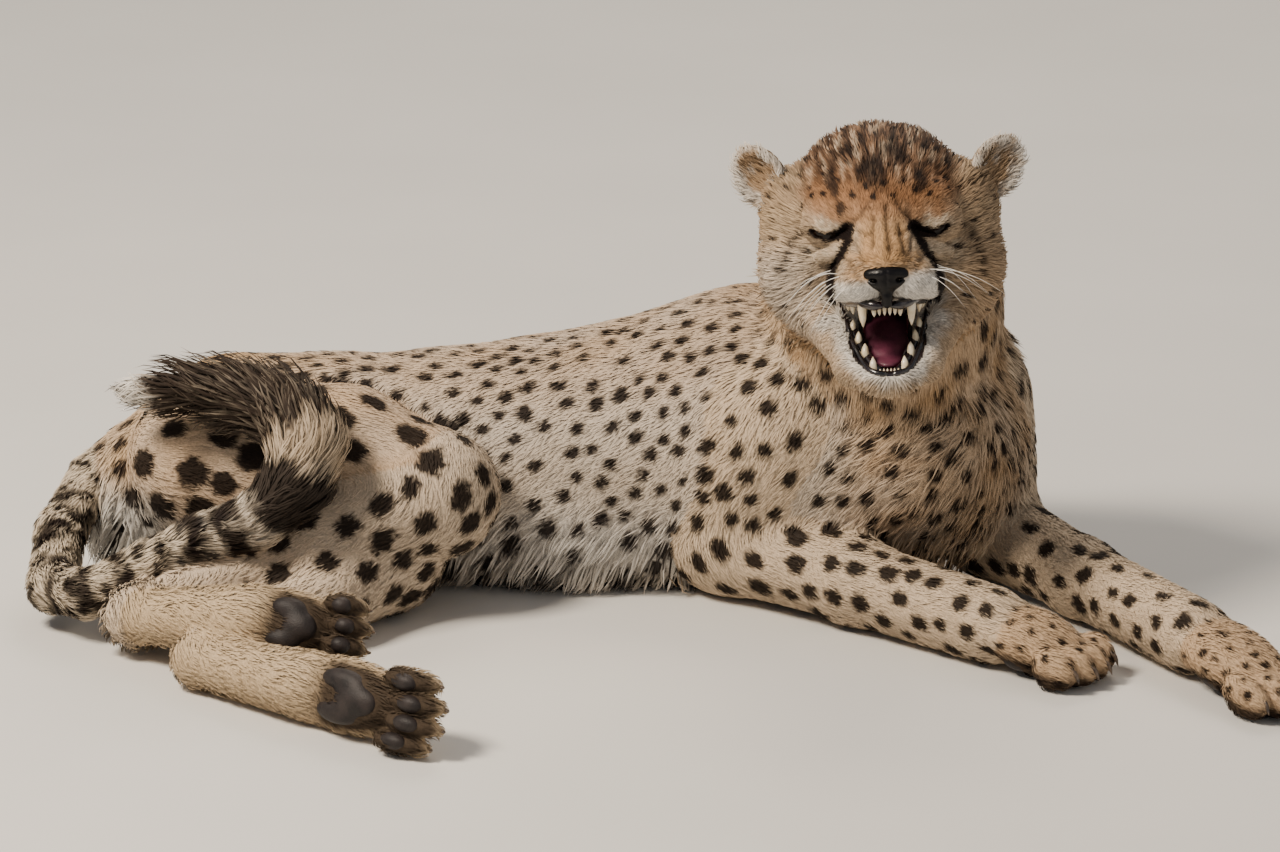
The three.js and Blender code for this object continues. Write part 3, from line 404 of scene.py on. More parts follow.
class Clay:
    """A block of sampled space in which forms are joined, hollowed and cut, and which gives a mesh."""

    FAR = 40.0  # what an empty sample holds, in millimetres

    def __init__(self, low: Iterable[float], high: Iterable[float], cell: float) -> None:
        """Sets out an empty block.

        Args:
            low: Lowest corner.
            high: Highest corner.
            cell: Distance between samples.
        """
        self.cell = cell
        self.low = np.array(tuple(low), float)
        self.count = np.ceil((np.array(tuple(high)) - self.low) / cell).astype(int) + 1
        self.values = np.full(tuple(self.count), self.FAR, np.float32)

    def add(self, forms: Iterable[Form], fillet: float, sign: int = 1) -> None:
        """Joins forms to what is there, one after another, with a fillet of about the given radius.

        Args:
            forms: The forms.
            fillet: The radius.
            sign: 1 to add, -1 to hollow them out, with the fillet as a rounded edge.
        """
        for form in forms:
            (low, high), margin = form.box(), fillet + 3 * self.cell
            first = np.clip(np.floor((low - margin - self.low) / self.cell).astype(int), 0, self.count - 1)
            last = np.clip(np.ceil((high + margin - self.low) / self.cell).astype(int) + 1, 1, self.count)
            ranges = [self.low[i] + self.cell * np.arange(first[i], last[i]) for i in range(3)]
            new = form.distance(np.stack(np.meshgrid(*ranges, indexing="ij"), axis=-1))
            slices = tuple(slice(a, b) for a, b in zip(first, last))
            there = sign * self.values[slices]
            mix = np.maximum(fillet - np.abs(there - new), 0) / fillet
            self.values[slices] = sign * (np.minimum(there, new) - mix * mix * fillet * 0.25)

    def front(self, x: float, z: float) -> float:
        """Where a line along y first meets the clay.

        Args:
            x: Where the line runs.
            z: Its height.

        Returns:
            The y there.
        """
        i, k = np.round((np.array((x, z)) - self.low[[0, 2]]) / self.cell).astype(int)
        column = self.values[i, :, k]
        hit = max(int(np.argmax(column < 0)), 1)
        before, inside = column[hit - 1], column[hit]
        return float(self.low[1] + self.cell * (hit - 1 + before / (before - inside)))

    def traced(self, line: Line, sink: float, step: float = 2.5) -> Array:
        """A line on the clay's front.

        Args:
            line: Its corners.
            sink: How deep it runs below the surface.
            step: About how far apart its places are.

        Returns:
            Places along it, one a row.
        """
        corners = np.array(line, float)
        run = np.concatenate(([0], np.cumsum(np.linalg.norm(np.diff(corners, axis=0), axis=1))))
        at = np.linspace(0, run[-1], max(3, round(run[-1] / step) + 1))
        xs, zs = (np.interp(at, run, corners[:, i]) for i in (0, 1))
        return np.array([(x, self.front(x, z) + sink, z) for x, z in zip(xs, zs)])

    def cut(self, at: Array, facing: Array) -> None:
        """Takes off all that lies beyond a plane.

        Args:
            at: A place on the plane.
            facing: Which way is beyond.
        """
        ranges = [(self.low[i] + self.cell * np.arange(self.count[i]) - at[i]) * facing[i] for i in range(3)]
        x, y, z = np.meshgrid(*ranges, indexing="ij", sparse=True)
        self.values[:] = np.maximum(self.values, x + y + z)

    def mesh(self, rounds: int = 1) -> Mesh:
        """The surface of the clay: one vertex in each cell that it crosses, joined in quads.

        Args:
            rounds: How often it is smoothed, each time out and back to keep the volume.

        Returns:
            Vertices in millimetres, and quads that face out.
        """
        inside = self.values < 0
        shape = np.array(inside.shape)
        offsets = [(i, j, k) for i in (0, 1) for j in (0, 1) for k in (0, 1)]
        windows = (inside[tuple(map(slice, o, shape - 1 + o))] for o in offsets)
        filled = sum(window.astype(np.int8) for window in windows)
        mixed = (filled > 0) & (filled < 8)
        cells = np.argwhere(mixed)
        ids = np.full(mixed.shape, -1, np.int64)
        ids[mixed] = np.arange(len(cells))
        total, hits, quads = np.zeros((len(cells), 3)), np.zeros(len(cells)), []
        for a, axis in ((a, axis) for a in offsets for axis in range(3) if not a[axis]):
            b = tuple(v + (i == axis) for i, v in enumerate(a))
            one, two = (self.values[tuple((cells + o).T)] for o in (a, b))
            crossed = (one < 0) != (two < 0)
            t = one[crossed] / (one[crossed] - two[crossed])
            total[crossed] += np.array(a) + t[:, None] * np.subtract(b, a)
            hits[crossed] += 1
        for axis in range(3):
            step = np.eye(3, dtype=int)
            u, v = step[(axis + 1) % 3], step[(axis + 2) % 3]
            first = inside[tuple(map(slice, shape - step[axis]))]
            edges = np.argwhere(first != inside[tuple(map(slice, step[axis], shape))])
            edges = edges[np.all(edges >= u + v, axis=1) & np.all(edges < shape - 1, axis=1)]
            ring = [ids[tuple(cell.T)] for cell in (edges, edges - u, edges - u - v, edges - v)]
            quads.append(np.where(first[tuple(edges.T)][:, None], np.stack(ring, 1), np.stack(ring[::-1], 1)))
        vertices, quads = self.low + self.cell * (cells + total / hits[:, None]), np.concatenate(quads)
        edges = np.concatenate([quads[:, [i, (i + 1) % 4]] for i in range(4)])
        edges = np.concatenate([edges, edges[:, ::-1]])
        count = np.maximum(np.bincount(edges[:, 0], minlength=len(vertices)), 1)[:, None]
        for share in (0.5, -0.48) * rounds:
            sums = [np.bincount(edges[:, 0], vertices[edges[:, 1], i], len(vertices)) for i in range(3)]
            vertices = vertices + share * (np.stack(sums, 1) / count - vertices)
        return vertices, quads


# ---------------------------------------------------------------- sizes of the body, as in the solids
Station = tuple[float, float, float, float]  # x, y, z and half thickness there


class Region(IntEnum):
    """The parts of the skin that grow their own kind of coat."""

    TRUNK = 0
    NECK = 1
    FORELEGS = 2
    HINDLEGS = 3
    TAIL = 4
    HEAD = 5
    EARS = 6


@dataclass(frozen=True)
class Chain:
    """A row of limbs of the body.

    Attributes:
        region: What coat it grows.
        inset: Depth of the coat there.
        fillet: Radius of the fillets that join its limbs.
        stations: Places and half thicknesses along it.
    """

    region: Region
    inset: float
    fillet: float
    stations: tuple[Station, ...]

    def limbs(self) -> list[Limb]:
        """One limb for each pair of stations, thinner than the coat's outline by the inset."""
        rows = [(row[:3], max(row[3] - self.inset, 2)) for row in self.stations]
        return [Limb(a, b, thick, thin) for (a, thick), (b, thin) in zip(rows, rows[1:])]


CHAINS: dict[str, Chain] = {
    "spine": Chain(Region.TRUNK, 3.5, 30, (
        (-366, 62, 64, 62), (-305, 76, 83, 79), (-230, 80, 83, 79), (-140, 88, 82, 82), (-60, 92, 86, 87),
        (15, 92, 94, 94), (88, 80, 108, 107), (165, 48, 102, 98), (212, 20, 112, 78))),
    "belly": Chain(Region.TRUNK, 5, 30, ((-180, 54, 42, 42), (-60, 46, 44, 44), (50, 46, 45, 45))),
    "neck": Chain(Region.NECK, 6, 30, ((184, 50, 170, 83), (186, 18, 226, 78), (180, -12, 284, 70))),
    "upper_arm_right": Chain(Region.FORELEGS, 3, 30, ((104, 6, 132, 56), (70, 8, 42, 38))),
    "upper_arm_left": Chain(Region.FORELEGS, 3, 30, ((244, 62, 140, 54), (268, 46, 40, 36))),
    "foreleg_right": Chain(Region.FORELEGS, 2.2, 14, (
        (70, 8, 42, 38), (160, -64, 35, 32), (258, -150, 29, 30))),
    "foreleg_left": Chain(Region.FORELEGS, 2.2, 14, (
        (268, 46, 40, 36), (330, -50, 33, 29), (404, -176, 29, 29))),
    "thigh_left": Chain(Region.HINDLEGS, 3, 8, ((-330, 92, 52, 54), (-250, 34, 50, 52), (-190, -34, 44, 42))),
    "shank_left": Chain(Region.HINDLEGS, 2.5, 14, (
        (-190, -34, 44, 42), (-236, -104, 32, 31), (-320, -206, 21, 20))),
    "thigh_right": Chain(Region.HINDLEGS, 3, 5, (
        (-322, 30, 96, 68), (-222, -2, 104, 64), (-154, -30, 92, 48))),
    "shank_right": Chain(Region.HINDLEGS, 2.5, 14, (
        (-154, -30, 92, 48), (-252, -74, 62, 36), (-372, -130, 29, 22))),
    "tail": Chain(Region.TAIL, 8, 6, (
        (-380, 92, 90, 29), (-414, 50, 80, 25), (-436, -4, 54, 24), (-438, -68, 31, 24), (-410, -99, 36, 23),
        (-366, -101, 58, 23), (-324, -102, 78, 25), (-284, -107, 94, 26), (-254, -102, 121, 29),
        (-246, -88, 147, 31), (-262, -64, 166, 29), (-296, -48, 175, 25), (-336, -38, 176, 19),
        (-384, -26, 172, 7))),
}


# ---------------------------------------------------------------- feet
@dataclass(frozen=True)
class Foot:
    """A paw, with axes that run forwards, across and out of its sole.

    Attributes:
        name: Which paw.
        heel: Where it starts.
        toes: Where its toes end.
        sole: Roughly which way the sole faces.
        width: Across the toes.
        depth: From top to sole.
        shank: Where the leg above it ends, if that is away from the heel.
        thickness: Half thickness there.
    """

    name: str
    heel: Point
    toes: Point
    sole: Point
    width: float
    depth: float
    shank: Optional[Point] = None
    thickness: float = 0.0

    @property
    def length(self) -> float:
        """From heel to toes."""
        return float(np.linalg.norm(np.subtract(self.toes, self.heel)))

    @property
    def axes(self) -> Array:
        """The three axes, as the rows of a matrix."""
        forwards, sole = unit(np.subtract(self.toes, self.heel).astype(float)), np.array(self.sole, float)
        out = unit(sole - (sole @ forwards) * forwards)
        return np.array((forwards, np.cross(out, forwards), out))

    def egg(self, at: Point, radii: Point, inset: float = 0) -> Egg:
        """An egg along the foot's axes, given in shares of length, width and depth."""
        size = np.array((self.length, self.width, self.depth))
        return Egg(self.place(*(at * size)), np.maximum(radii * size - inset, 2), self.axes.T)

    def place(self, ahead: float, side: float, down: float) -> Array:
        """A point of the foot, given along its own axes."""
        return np.array(self.heel, float) + np.array((ahead, side, down)) @ self.axes

    def toe_places(self) -> list[tuple[float, float]]:
        """How far ahead and to the side the middle of each toe is, in shares of length and width."""
        return [(0.83 - 0.5 * side * side, side) for side in (-0.375, -0.125, 0.125, 0.375)]

    def pads(self) -> list[Egg]:
        """The main pad's three lobes and the four toe pads."""
        low = 0.22 if self.sole[2] == -1 else 0.29
        return [
            self.egg((0.47, 0, low + 0.06), (0.15, 0.2, 0.2)),
            *(self.egg((0.36, side * 0.19, low + 0.03), (0.15, 0.14, 0.19)) for side in SIDES),
            *(self.egg((x + 0.01, 0.95 * side, low + 0.03), (0.085, 0.102, 0.16))
              for x, side in self.toe_places()),
        ]

    def forms(self, inset: float) -> list[Egg]:
        """The eggs of the paw, taken in by the depth of its fur.

        Args:
            inset: That depth.

        Returns:
            The eggs.
        """
        rows = [((0.3, 0, -0.06), (0.48, 0.46, 0.46)), ((0.42, 0, 0.26), (0.25, 0.34, 0.26))]
        for x, side in self.toe_places():
            rows += [((x, side, 0.06), (0.2, 0.15, 0.36)), ((x - 0.02, side, 0.32), (0.11, 0.1, 0.16))]
        return [self.egg(at, radii, inset) for at, radii in rows]

    def limbs(self) -> list[Limb]:
        """What the hair of the foot follows."""
        upper = [Limb(self.shank, self.heel, 18, 20)] if self.shank else []
        return [*upper, Limb(self.heel, self.toes, 20, 17)]

    def claws(self) -> Mesh:
        """The four blunt claws; a cheetah's stay partly out."""
        parts, tip = [], 0.17 * self.length
        for ahead, side in self.toe_places():
            steps = ((0.55 * tip, -0.06), (tip + 2, -0.03), (tip + 4.5, 0.06), (tip + 6.5, 0.15))
            path = [self.place(ahead * self.length + x, side * self.width, z * self.depth) for x, z in steps]
            parts.append(swept(path, [(1.7, 2.5), (1.5, 2.1), (1.0, 1.4)], self.axes[1], 9))
        return joined(parts)

    def cushions(self) -> Mesh:
        """The pads as a mesh: the lobes run together, the toe pads apart."""
        centre, eggs = self.place(0.6 * self.length, 0, 0.3 * self.depth), self.pads()
        clay = Clay(centre - 62, centre + 62, 1.5)
        clay.add(eggs[:3], 5)
        clay.add(eggs[3:], 1)
        return clay.mesh()


FEET: tuple[Foot, ...] = (
    Foot("forepaw_right", (258, -150, 29), (334, -208, 16), (0, 0, -1), 68, 44),
    Foot("forepaw_left", (404, -176, 29), (472, -284, 16), (0, 0, -1), 68, 44),
    Foot("hind_foot_right", (-283, -202, 52), (-196, -232, 44), (-0.1, -0.85, 0.4), 60, 42,
         (-372, -130, 29), 20),
    Foot("hind_foot_left", (-240, -276, 27), (-138, -362, 30), (-0.5, -0.75, 0.3), 60, 42,
         (-320, -206, 21), 18),
)
LIMBS = {name: (chain.region, chain.limbs()) for name, chain in CHAINS.items()}
LIMBS |= {foot.name: (Region.HINDLEGS if foot.shank else Region.FORELEGS, foot.limbs()) for foot in FEET}
NAMES = (*LIMBS, "head", "ear")

# ---------------------------------------------------------------- the head, in a frame of its own
HEAD_AT = np.array((177.0, -55.0, 303.0))
HEAD_TURN = rotation(-12, -2.5, 0)
THROAT_AT = np.array((185.0, -18.0, 250.0))
THROAT_FACING = unit(np.array((0.0, -0.45, 0.89)))
EYE: Point = (38, -39, 6)
EYE_RADIUS = 15.0
EAR = np.array((86.0, 10.0, 42.0))
EAR_RADII = np.array((19.0, 12.0, 26.0))
EAR_WALL = 2.6
# Skull, cheeks and neck stump, each inside its solid by the depth of the coat there.
HEAD_FORMS: tuple[Form, ...] = (
    Egg((0, 18, 13), (65, 68, 61)),
    Limb((0, 30, 4), (0, 58, -44), 56, 68),
    Egg((0, -30, 19), (41, 28, 27)),
    Limb((0, -38, 15), (0, -86, -14), 23, 12.5),
    Egg((0, -62, -24), (33.5, 38.5, 22.5)),
    *both(Egg((50, 10, -24), (38, 44, 44))),
    *both(Egg((38, 14, -50), (31, 38, 30))),
    *both(Egg((32, -34, 20), (21, 18, 13))),
    *both(Egg((60, 12, 16), (25, 33, 30))),
)
# The lower jaw: a slab that runs forwards and down from the cheeks to the chin.
JAW_FORMS: tuple[Form, ...] = (
    *both(Limb((46, -18, -56), (27, -66, -93), 17, 10.5)),
    *both(Limb((27, -66, -93), (10, -84, -103), 10.5, 8.5)),
    Limb((0, -84, -104), (0, -50, -96), 8.5, 14),
    Limb((0, -50, -96), (0, 10, -70), 14, 34),
)
# Lip pads, lids and brow folds of the left side.
FACE_FORMS: tuple[Form, ...] = (
    Egg((17, -80, -32), (18, 19, 13.4)),
    Egg((30, -62, -34), (13, 22, 12)),
    Egg(EYE, (17.6, 16.6, 13.8)),
    Limb((22, -55, 1), (54, -41, 6), 4.6, 3.8),
    Limb((24, -54, 12), (52, -41, 14), 5.0, 4.0),
    Limb((10, -62, 12), (17, -78, -8), 6, 5),
    Limb((20, -62, -8), (45, -39, -15), 7.5, 4),
)
# The mouth: wide below the upper lip, narrow behind the lower incisors, and deep to the throat.
MOUTH_HOLLOWS: tuple[Form, ...] = (
    Egg((0, -74, -55.5), (34, 50, 7.5)),
    Egg((0, -74, -64), (29, 50, 11)),
    Egg((0, -74, -74), (25.5, 50, 12)),
    Egg((0, -74, -83), (22, 46, 11)),
    Egg((0, -76, -88), (17.5, 40, 8.5)),
    Limb((0, -14, -64), (0, -60, -72), 15, 19),
)
NOSE_FORMS: tuple[Form, ...] = (
    Egg((0, -94, -25.5), (16.5, 12, 7.2)),
    *both(Egg((11, -91, -28), (6.4, 10.5, 6.6))),
    Egg((0, -95, -31.5), (12, 10, 7)),
    Limb((0, -95, -34), (0, -97, -42), 7.0, 3.4),
    Limb((0, -97, -42), (0, -95, -46.5), 3.2, 4.2),
)
NOSTRILS: tuple[Form, ...] = (
    *both(Egg((9.2, -103, -30.2), (2.6, 5, 1.5))),
    *both(Limb((9.5, -103, -30.2), (16, -97, -29), 1.3, 0.8)),
    Limb((0, -106.5, -21), (0, -103, -42), 0.9, 0.9),
)
TONGUE_TURN = rotation(17)
TONGUE_FORMS: tuple[Form, ...] = (
    Egg((0, -57, -89.5), (11, 17, 3.8), TONGUE_TURN),
    Egg((0, -36, -80), (17, 26, 6.2), TONGUE_TURN),
    Egg((0, -12, -72), (20, 28, 9.5), TONGUE_TURN),
)
# The slit between the lids of each eye, as x outwards and height: the left one is the narrower.
EYE_SLITS: dict[int, Line] = {
    -1: ((25, 5.5), (32, 1.5), (39, -0.4), (46, 1), (51, 4.5)),
    1: ((22, 5.5), (28, 2), (35, 0), (41, 1), (46, 4.5)),
}
# Creases of the snarl: corners, half width, and depth below the surface.
CREASES: tuple[tuple[Line, float, float], ...] = (
    (((2.5, 20), (2.5, 8), (3.5, -3), (3.5, -10)), 2.0, 0.7), (((-6, 14), (-7.5, 3), (-8.5, -7)), 1.6, 0.5),
    (((11, 6), (12.5, -4), (13.5, -13)), 1.6, 0.5), (((-17, 4), (-13, 1), (-10, 3)), 1.3, 0.4),
    (((16, 3), (13, 0), (9, 2)), 1.3, 0.4), (((-22, -2), (-18, -9), (-15.5, -18)), 1.5, 0.1),
    (((20, -1), (18, -9), (16.5, -18)), 1.5, 0.1), (((-23, 9), (-15, 15), (-9, 24)), 1.6, 0.0),
    (((22, 9), (15, 15), (10, 24)), 1.6, 0.0), (((-30, -14), (-24, -18), (-21, -25)), 1.6, 0.0),
    (((30, -14), (24, -18), (21, -25)), 1.6, 0.0), (((0, -37), (0, -46)), 1.3, 0.2),
)


def to_source(points: Array) -> Array:
    """Turns points of the head's frame to the source frame."""
    return points @ HEAD_TURN.T + HEAD_AT


def to_head(points: Array) -> Array:
    """Turns points of the source frame to the head's frame."""
    return (points - HEAD_AT) @ HEAD_TURN


def ear_turn(side: int) -> Array:
    """How an ear is turned in the head's frame."""
    return rotation(0, side * 30, 0) @ rotation(0, 0, side * 20)


def ear_facing(side: int) -> Array:
    """Which way an ear's hollow faces, in the source frame."""
    return HEAD_TURN @ ear_turn(side) @ np.array((0.0, -1.0, 0.0))


# ---------------------------------------------------------------- the skin
@dataclass(frozen=True)
class Site:
    """What is known of places on the skin: which limb they lie on, and how.

    Attributes:
        region: The region of each place.
        lie: Which way the hair lies there, along the surface.
        length: How far along its chain each place is, from 0 to 1.
        round: Where round its chain each place is, from 0 to 1.
        name: The number of the nearest chain.
    """

    region: Array
    lie: Array
    length: Array
    round: Array
    name: Array

    def on(self, *starts: str) -> Array:
        """Whether each place lies on a limb whose name starts so."""
        return np.isin(self.name, [i for i, name in enumerate(NAMES) if name.startswith(starts)])

    def take(self, rows: Array) -> "Site":
        """The survey of some of the places."""
        return Site(*(values[rows] for values in vars(self).values()))


@dataclass
class Skin:
    """The animal's surface below its coat, with what the coat and the markings need to know about it.

    Attributes:
        body_cell: Distance between samples on the body.
        head_cell: The same on the head, where the forms are finer.
        ear_cell: The same in the ears, whose walls are thin.
        vertices: Places, in the source frame.
        quads: Faces of four.
        normals: Which way the skin faces at each vertex.
        kinds: 0 on the body, 1 on the head, 2 on an ear.
    """

    body_cell: float = 3.6
    head_cell: float = 1.7
    ear_cell: float = 1.3
    vertices: Array = field(default_factory=lambda: np.zeros((0, 3)))
    quads: Array = field(default_factory=lambda: np.zeros((0, 4), int))
    normals: Array = field(default_factory=lambda: np.zeros((0, 3)))
    kinds: Array = field(default_factory=lambda: np.zeros(0, int))
    face: Optional[Clay] = None

    def body(self) -> Mesh:
        """Trunk, neck, legs, feet and tail in one surface, open towards the head."""
        clay = Clay((-470, -400, -14), (500, 205, 330), self.body_cell)
        for chain in CHAINS.values():
            clay.add(chain.limbs(), chain.fillet)
        for foot in FEET:
            clay.add(foot.forms(1.6), 5)
        clay.add([Limb(foot.shank, foot.heel, foot.thickness, 23) for foot in FEET if foot.shank], 10)
        clay.cut(THROAT_AT + 6 * THROAT_FACING, THROAT_FACING)
        clay.cut(np.array((0, 0, 2.0)), np.array((0.0, 0.0, -1.0)))
        return clay.mesh(3)

    def head(self) -> Mesh:
        """The head with lids, brows, lips and the hollow of the mouth, in its own frame."""
        clay = self.face = Clay((-112, -122, -136), (112, 118, 92), self.head_cell)
        clay.add(HEAD_FORMS, 13)
        clay.add(JAW_FORMS, 9)
        for side in (0, 1):
            clay.add([both(form)[side] for form in FACE_FORMS], 5)
        grooves = [(clay.traced(line, sink), radius) for line, radius, sink in CREASES]
        for side, slit in EYE_SLITS.items():
            grooves += [(clay.traced([(side * x, up) for x, up in slit], sink), 1.15) for sink in (0, 2, 4)]
        clay.add(MOUTH_HOLLOWS, 3, -1)
        for places, radius in grooves:
            clay.add([Limb(a, b, radius, radius) for a, b in zip(places, places[1:])], 1.5, -1)
        clay.add([Limb((-8, -103, -28.5), (8, -103, -28.5), 5, 5)], 1, -1)
        return clay.mesh(2)

    def ear(self, side: int) -> Mesh:
        """One ear, a cupped leaf, in the head's frame.

        Args:
            side: -1 for the right ear, 1 for the left.

        Returns:
            Its mesh.
        """
        centre, turn = EAR * (side, 1, 1), ear_turn(side)
        clay = Clay(centre - 36, centre + 36, self.ear_cell)
        clay.add([Egg(centre, EAR_RADII - 1, turn)], 2)
        clay.add([Egg(centre + turn @ (0, -9.5, 1.0), EAR_RADII - (EAR_WALL, 0, EAR_WALL), turn)], 1.5, -1)
        return clay.mesh()

    def build(self) -> None:
        """Makes the whole surface, in the source frame."""
        parts = [self.body(), *((to_source(at), quads) for at, quads in (self.head(), *map(self.ear, SIDES)))]
        self.vertices, self.quads = joined(parts)
        self.kinds = np.repeat((0, 1, 2, 2), [len(at) for at, _ in parts])
        a, b, c, d = (self.vertices[self.quads[:, i]] for i in range(4))
        faces, total = np.cross(c - a, d - b), np.zeros_like(self.vertices)
        for i in range(4):
            for axis in range(3):
                total[:, axis] += np.bincount(self.quads[:, i], faces[:, axis], len(total))
        self.normals = unit(total)
        log.info("skin: %d vertices, %d quads", len(self.vertices), len(self.quads))


def survey(points: Array, normals: Array, kinds: Array) -> Site:
    """Finds the region, the lie of the hair and the unwrapped place of points on the skin.

    Args:
        points: Places on it, in the source frame.
        normals: Which way the skin faces there.
        kinds: 0 on the body, 1 on the head, 2 on an ear.

    Returns:
        The survey of all the places.
    """
    count, whole, fade = len(points), 2 * math.pi, 9  # how far off a limb still turns the hair
    best, length, angle = np.full(count, 1e9), np.zeros(count), np.zeros(count)
    region, name = np.zeros(count, int), np.zeros(count, int)
    flow, weight = np.zeros((count, 3)), np.full((count, 1), 1e-9)
    for key, (kind, limbs) in LIMBS.items():
        for number, limb in enumerate(limbs):
            distance, start = limb.distance(points), np.array(limb.start, float)
            axis = unit(np.array(limb.end, float) - start)
            up = unit(np.cross(axis, np.array((0.3, 1.0, 0.15))))
            off = points - start - ((points - start) @ axis)[:, None] * axis
            near = distance < best
            best[near], region[near], name[near] = distance[near], kind, NAMES.index(key)
            length[near] = ((number + limb.along(points)) / len(limbs))[near]
            angle[near] = (np.arctan2(off @ np.cross(axis, up), off @ up) / whole + 0.5)[near]
            share = np.exp(-np.clip(distance, 0, 200) / fade)[:, None]
            flow += share * (-axis if key in ("spine", "belly", "neck") else axis)
            weight += share
    lie = flow / weight
    trunk = region == Region.TRUNK
    sag = np.where(trunk, 0.55, np.where(region == Region.NECK, 0.5, 0.12))
    lie[:, 2] -= sag + 1.2 * trunk * smooth(80, 20, points[:, 2])
    head, ear = kinds == 1, kinds == 2
    local = to_head(points[head])
    away = (local - np.array((0, -92, -22))) * (1.15, 1, 1)
    away[:, 2] -= 0.35 * np.clip(-local[:, 2] - 10, 0, 60)
    jaw = ((local[:, 2] < -84) & (local[:, 1] < -20))[:, None]
    away = np.where(jaw, unit(local - np.array((0, -100, -96))) + np.array((0, 0.2, -0.7)), away)
    lie[head] = unit(away) @ HEAD_TURN.T
    region[head], name[head] = Region.HEAD, NAMES.index("head")
    length[head] = np.clip((local[:, 1] + 110) / 215, 0, 1)
    angle[head] = np.arctan2(local[:, 0], local[:, 2] + 20) / whole + 0.5
    local = to_head(points[ear])
    side = np.sign(local[:, 0])
    lie[ear] = unit(local - np.multiply.outer(side, (70, 0, 0)) - (0, 14, 22)) @ HEAD_TURN.T
    region[ear], name[ear] = Region.EARS, NAMES.index("ear")
    length[ear] = np.clip((local[:, 2] - 10) / 72, 0, 1)
    turned = np.arctan2(local[:, 0] - side * 83, 10 - local[:, 1])
    angle[ear] = np.where(side > 0, 0.75, 0.25) + turned / (2 * whole + 0.1)
    lie -= (lie * normals).sum(1, keepdims=True) * normals
    return Site(region, unit(lie), length, angle, name)


# ---------------------------------------------------------------- markings
def line_distance(across: Array, up: Array, line: Line) -> Array:
    """Distance of flat points from a line of straight stretches.

    Args:
        across: The first number of each point.
        up: The second number of each point.
        line: The corners of the line.

    Returns:
        One distance for each point.
    """
    points = np.stack((across, up), 1)
    best = np.full(len(points), 1e9)
    for a, b in zip(line, line[1:]):
        start, step = np.array(a, float), np.subtract(b, a).astype(float)
        t = np.clip(((points - start) @ step) / (step @ step), 0, 1)
        best = np.minimum(best, np.linalg.norm(points - start - t[:, None] * step, axis=1))
    return best


@dataclass(frozen=True)
class Palette:
    """The coat's colours, as sRGB hex values."""

    back: str = "#cbb092"
    flank: str = "#dbcab5"
    belly: str = "#ddd6cc"
    thigh: str = "#d3b594"
    rump: str = "#c9a880"
    leg: str = "#dcc5a8"
    paw: str = "#cfad88"
    hind_foot: str = "#d1b896"
    # Dark fur round the pads and in streaks on the crown, and painted shade in the creases of the snarl.
    dark_fur_and_crease_shade: str = "#241a16"
    # The darker nape fur, also laid as painted shade on the head's left side and in clouds of painted shade
    # on neck and chest.
    nape: str = "#a5835c"
    breast: str = "#c9ad8d"
    crown: str = "#83634a"
    forehead: str = "#9d714d"
    bridge: str = "#bc9468"
    cheek: str = "#b9a287"
    pale: str = "#d9cab2"
    # Also laid as painted light on the lower right cheek.
    white: str = "#e8e2d8"
    throat: str = "#b39b7d"
    tail: str = "#d8c7ae"
    tail_white: str = "#e2dbd0"
    brush: str = "#1c120f"
    ear_back: str = "#a98558"
    ear_inner: str = "#ab9072"
    black: str = "#1c1411"
    lip: str = "#0b090b"
    mouth: str = "#34141a"


TEAR: Line = ((24, 3), (26, -5), (31, -14), (37, -22), (39, -32), (40, -43), (38, -49))
TEMPLE: Line = ((57, 5), (65, -3), (69, -13), (73, -27))
# Dark patches of the crown: middle as x and height, half width and half height.
CROWN_PATCHES = ((-5, 41, 11, 14), (-35, 38, 5, 9), (28, 36, 6, 11), (-30, 22, 4, 7), (10, 58, 9, 7),
                 (-22, 58, 7, 6))
# Dark bands of the tail: middle and half width, in lengths of its chain of 13.
TAIL_BANDS = ((10.9, 1.65), (7.8, 0.6), (6.7, 0.26), (6.0, 0.2), (5.35, 0.18), (4.7, 0.16), (4.1, 0.15),
              (3.5, 0.14), (2.9, 0.14), (2.3, 0.13), (1.7, 0.13))
TAIL_LIMBS = 13


@dataclass
class Paint:
    """Colours of places on the coat, each laid over those before it."""

    colour: Array

    def lay(self, code: str, share: Array) -> None:
        """Mixes the colours towards a hex colour by a share for each place."""
        share = np.clip(share, 0, 1)[:, None]
        self.colour = self.colour * (1 - share) + np.array(linear(code)) * share


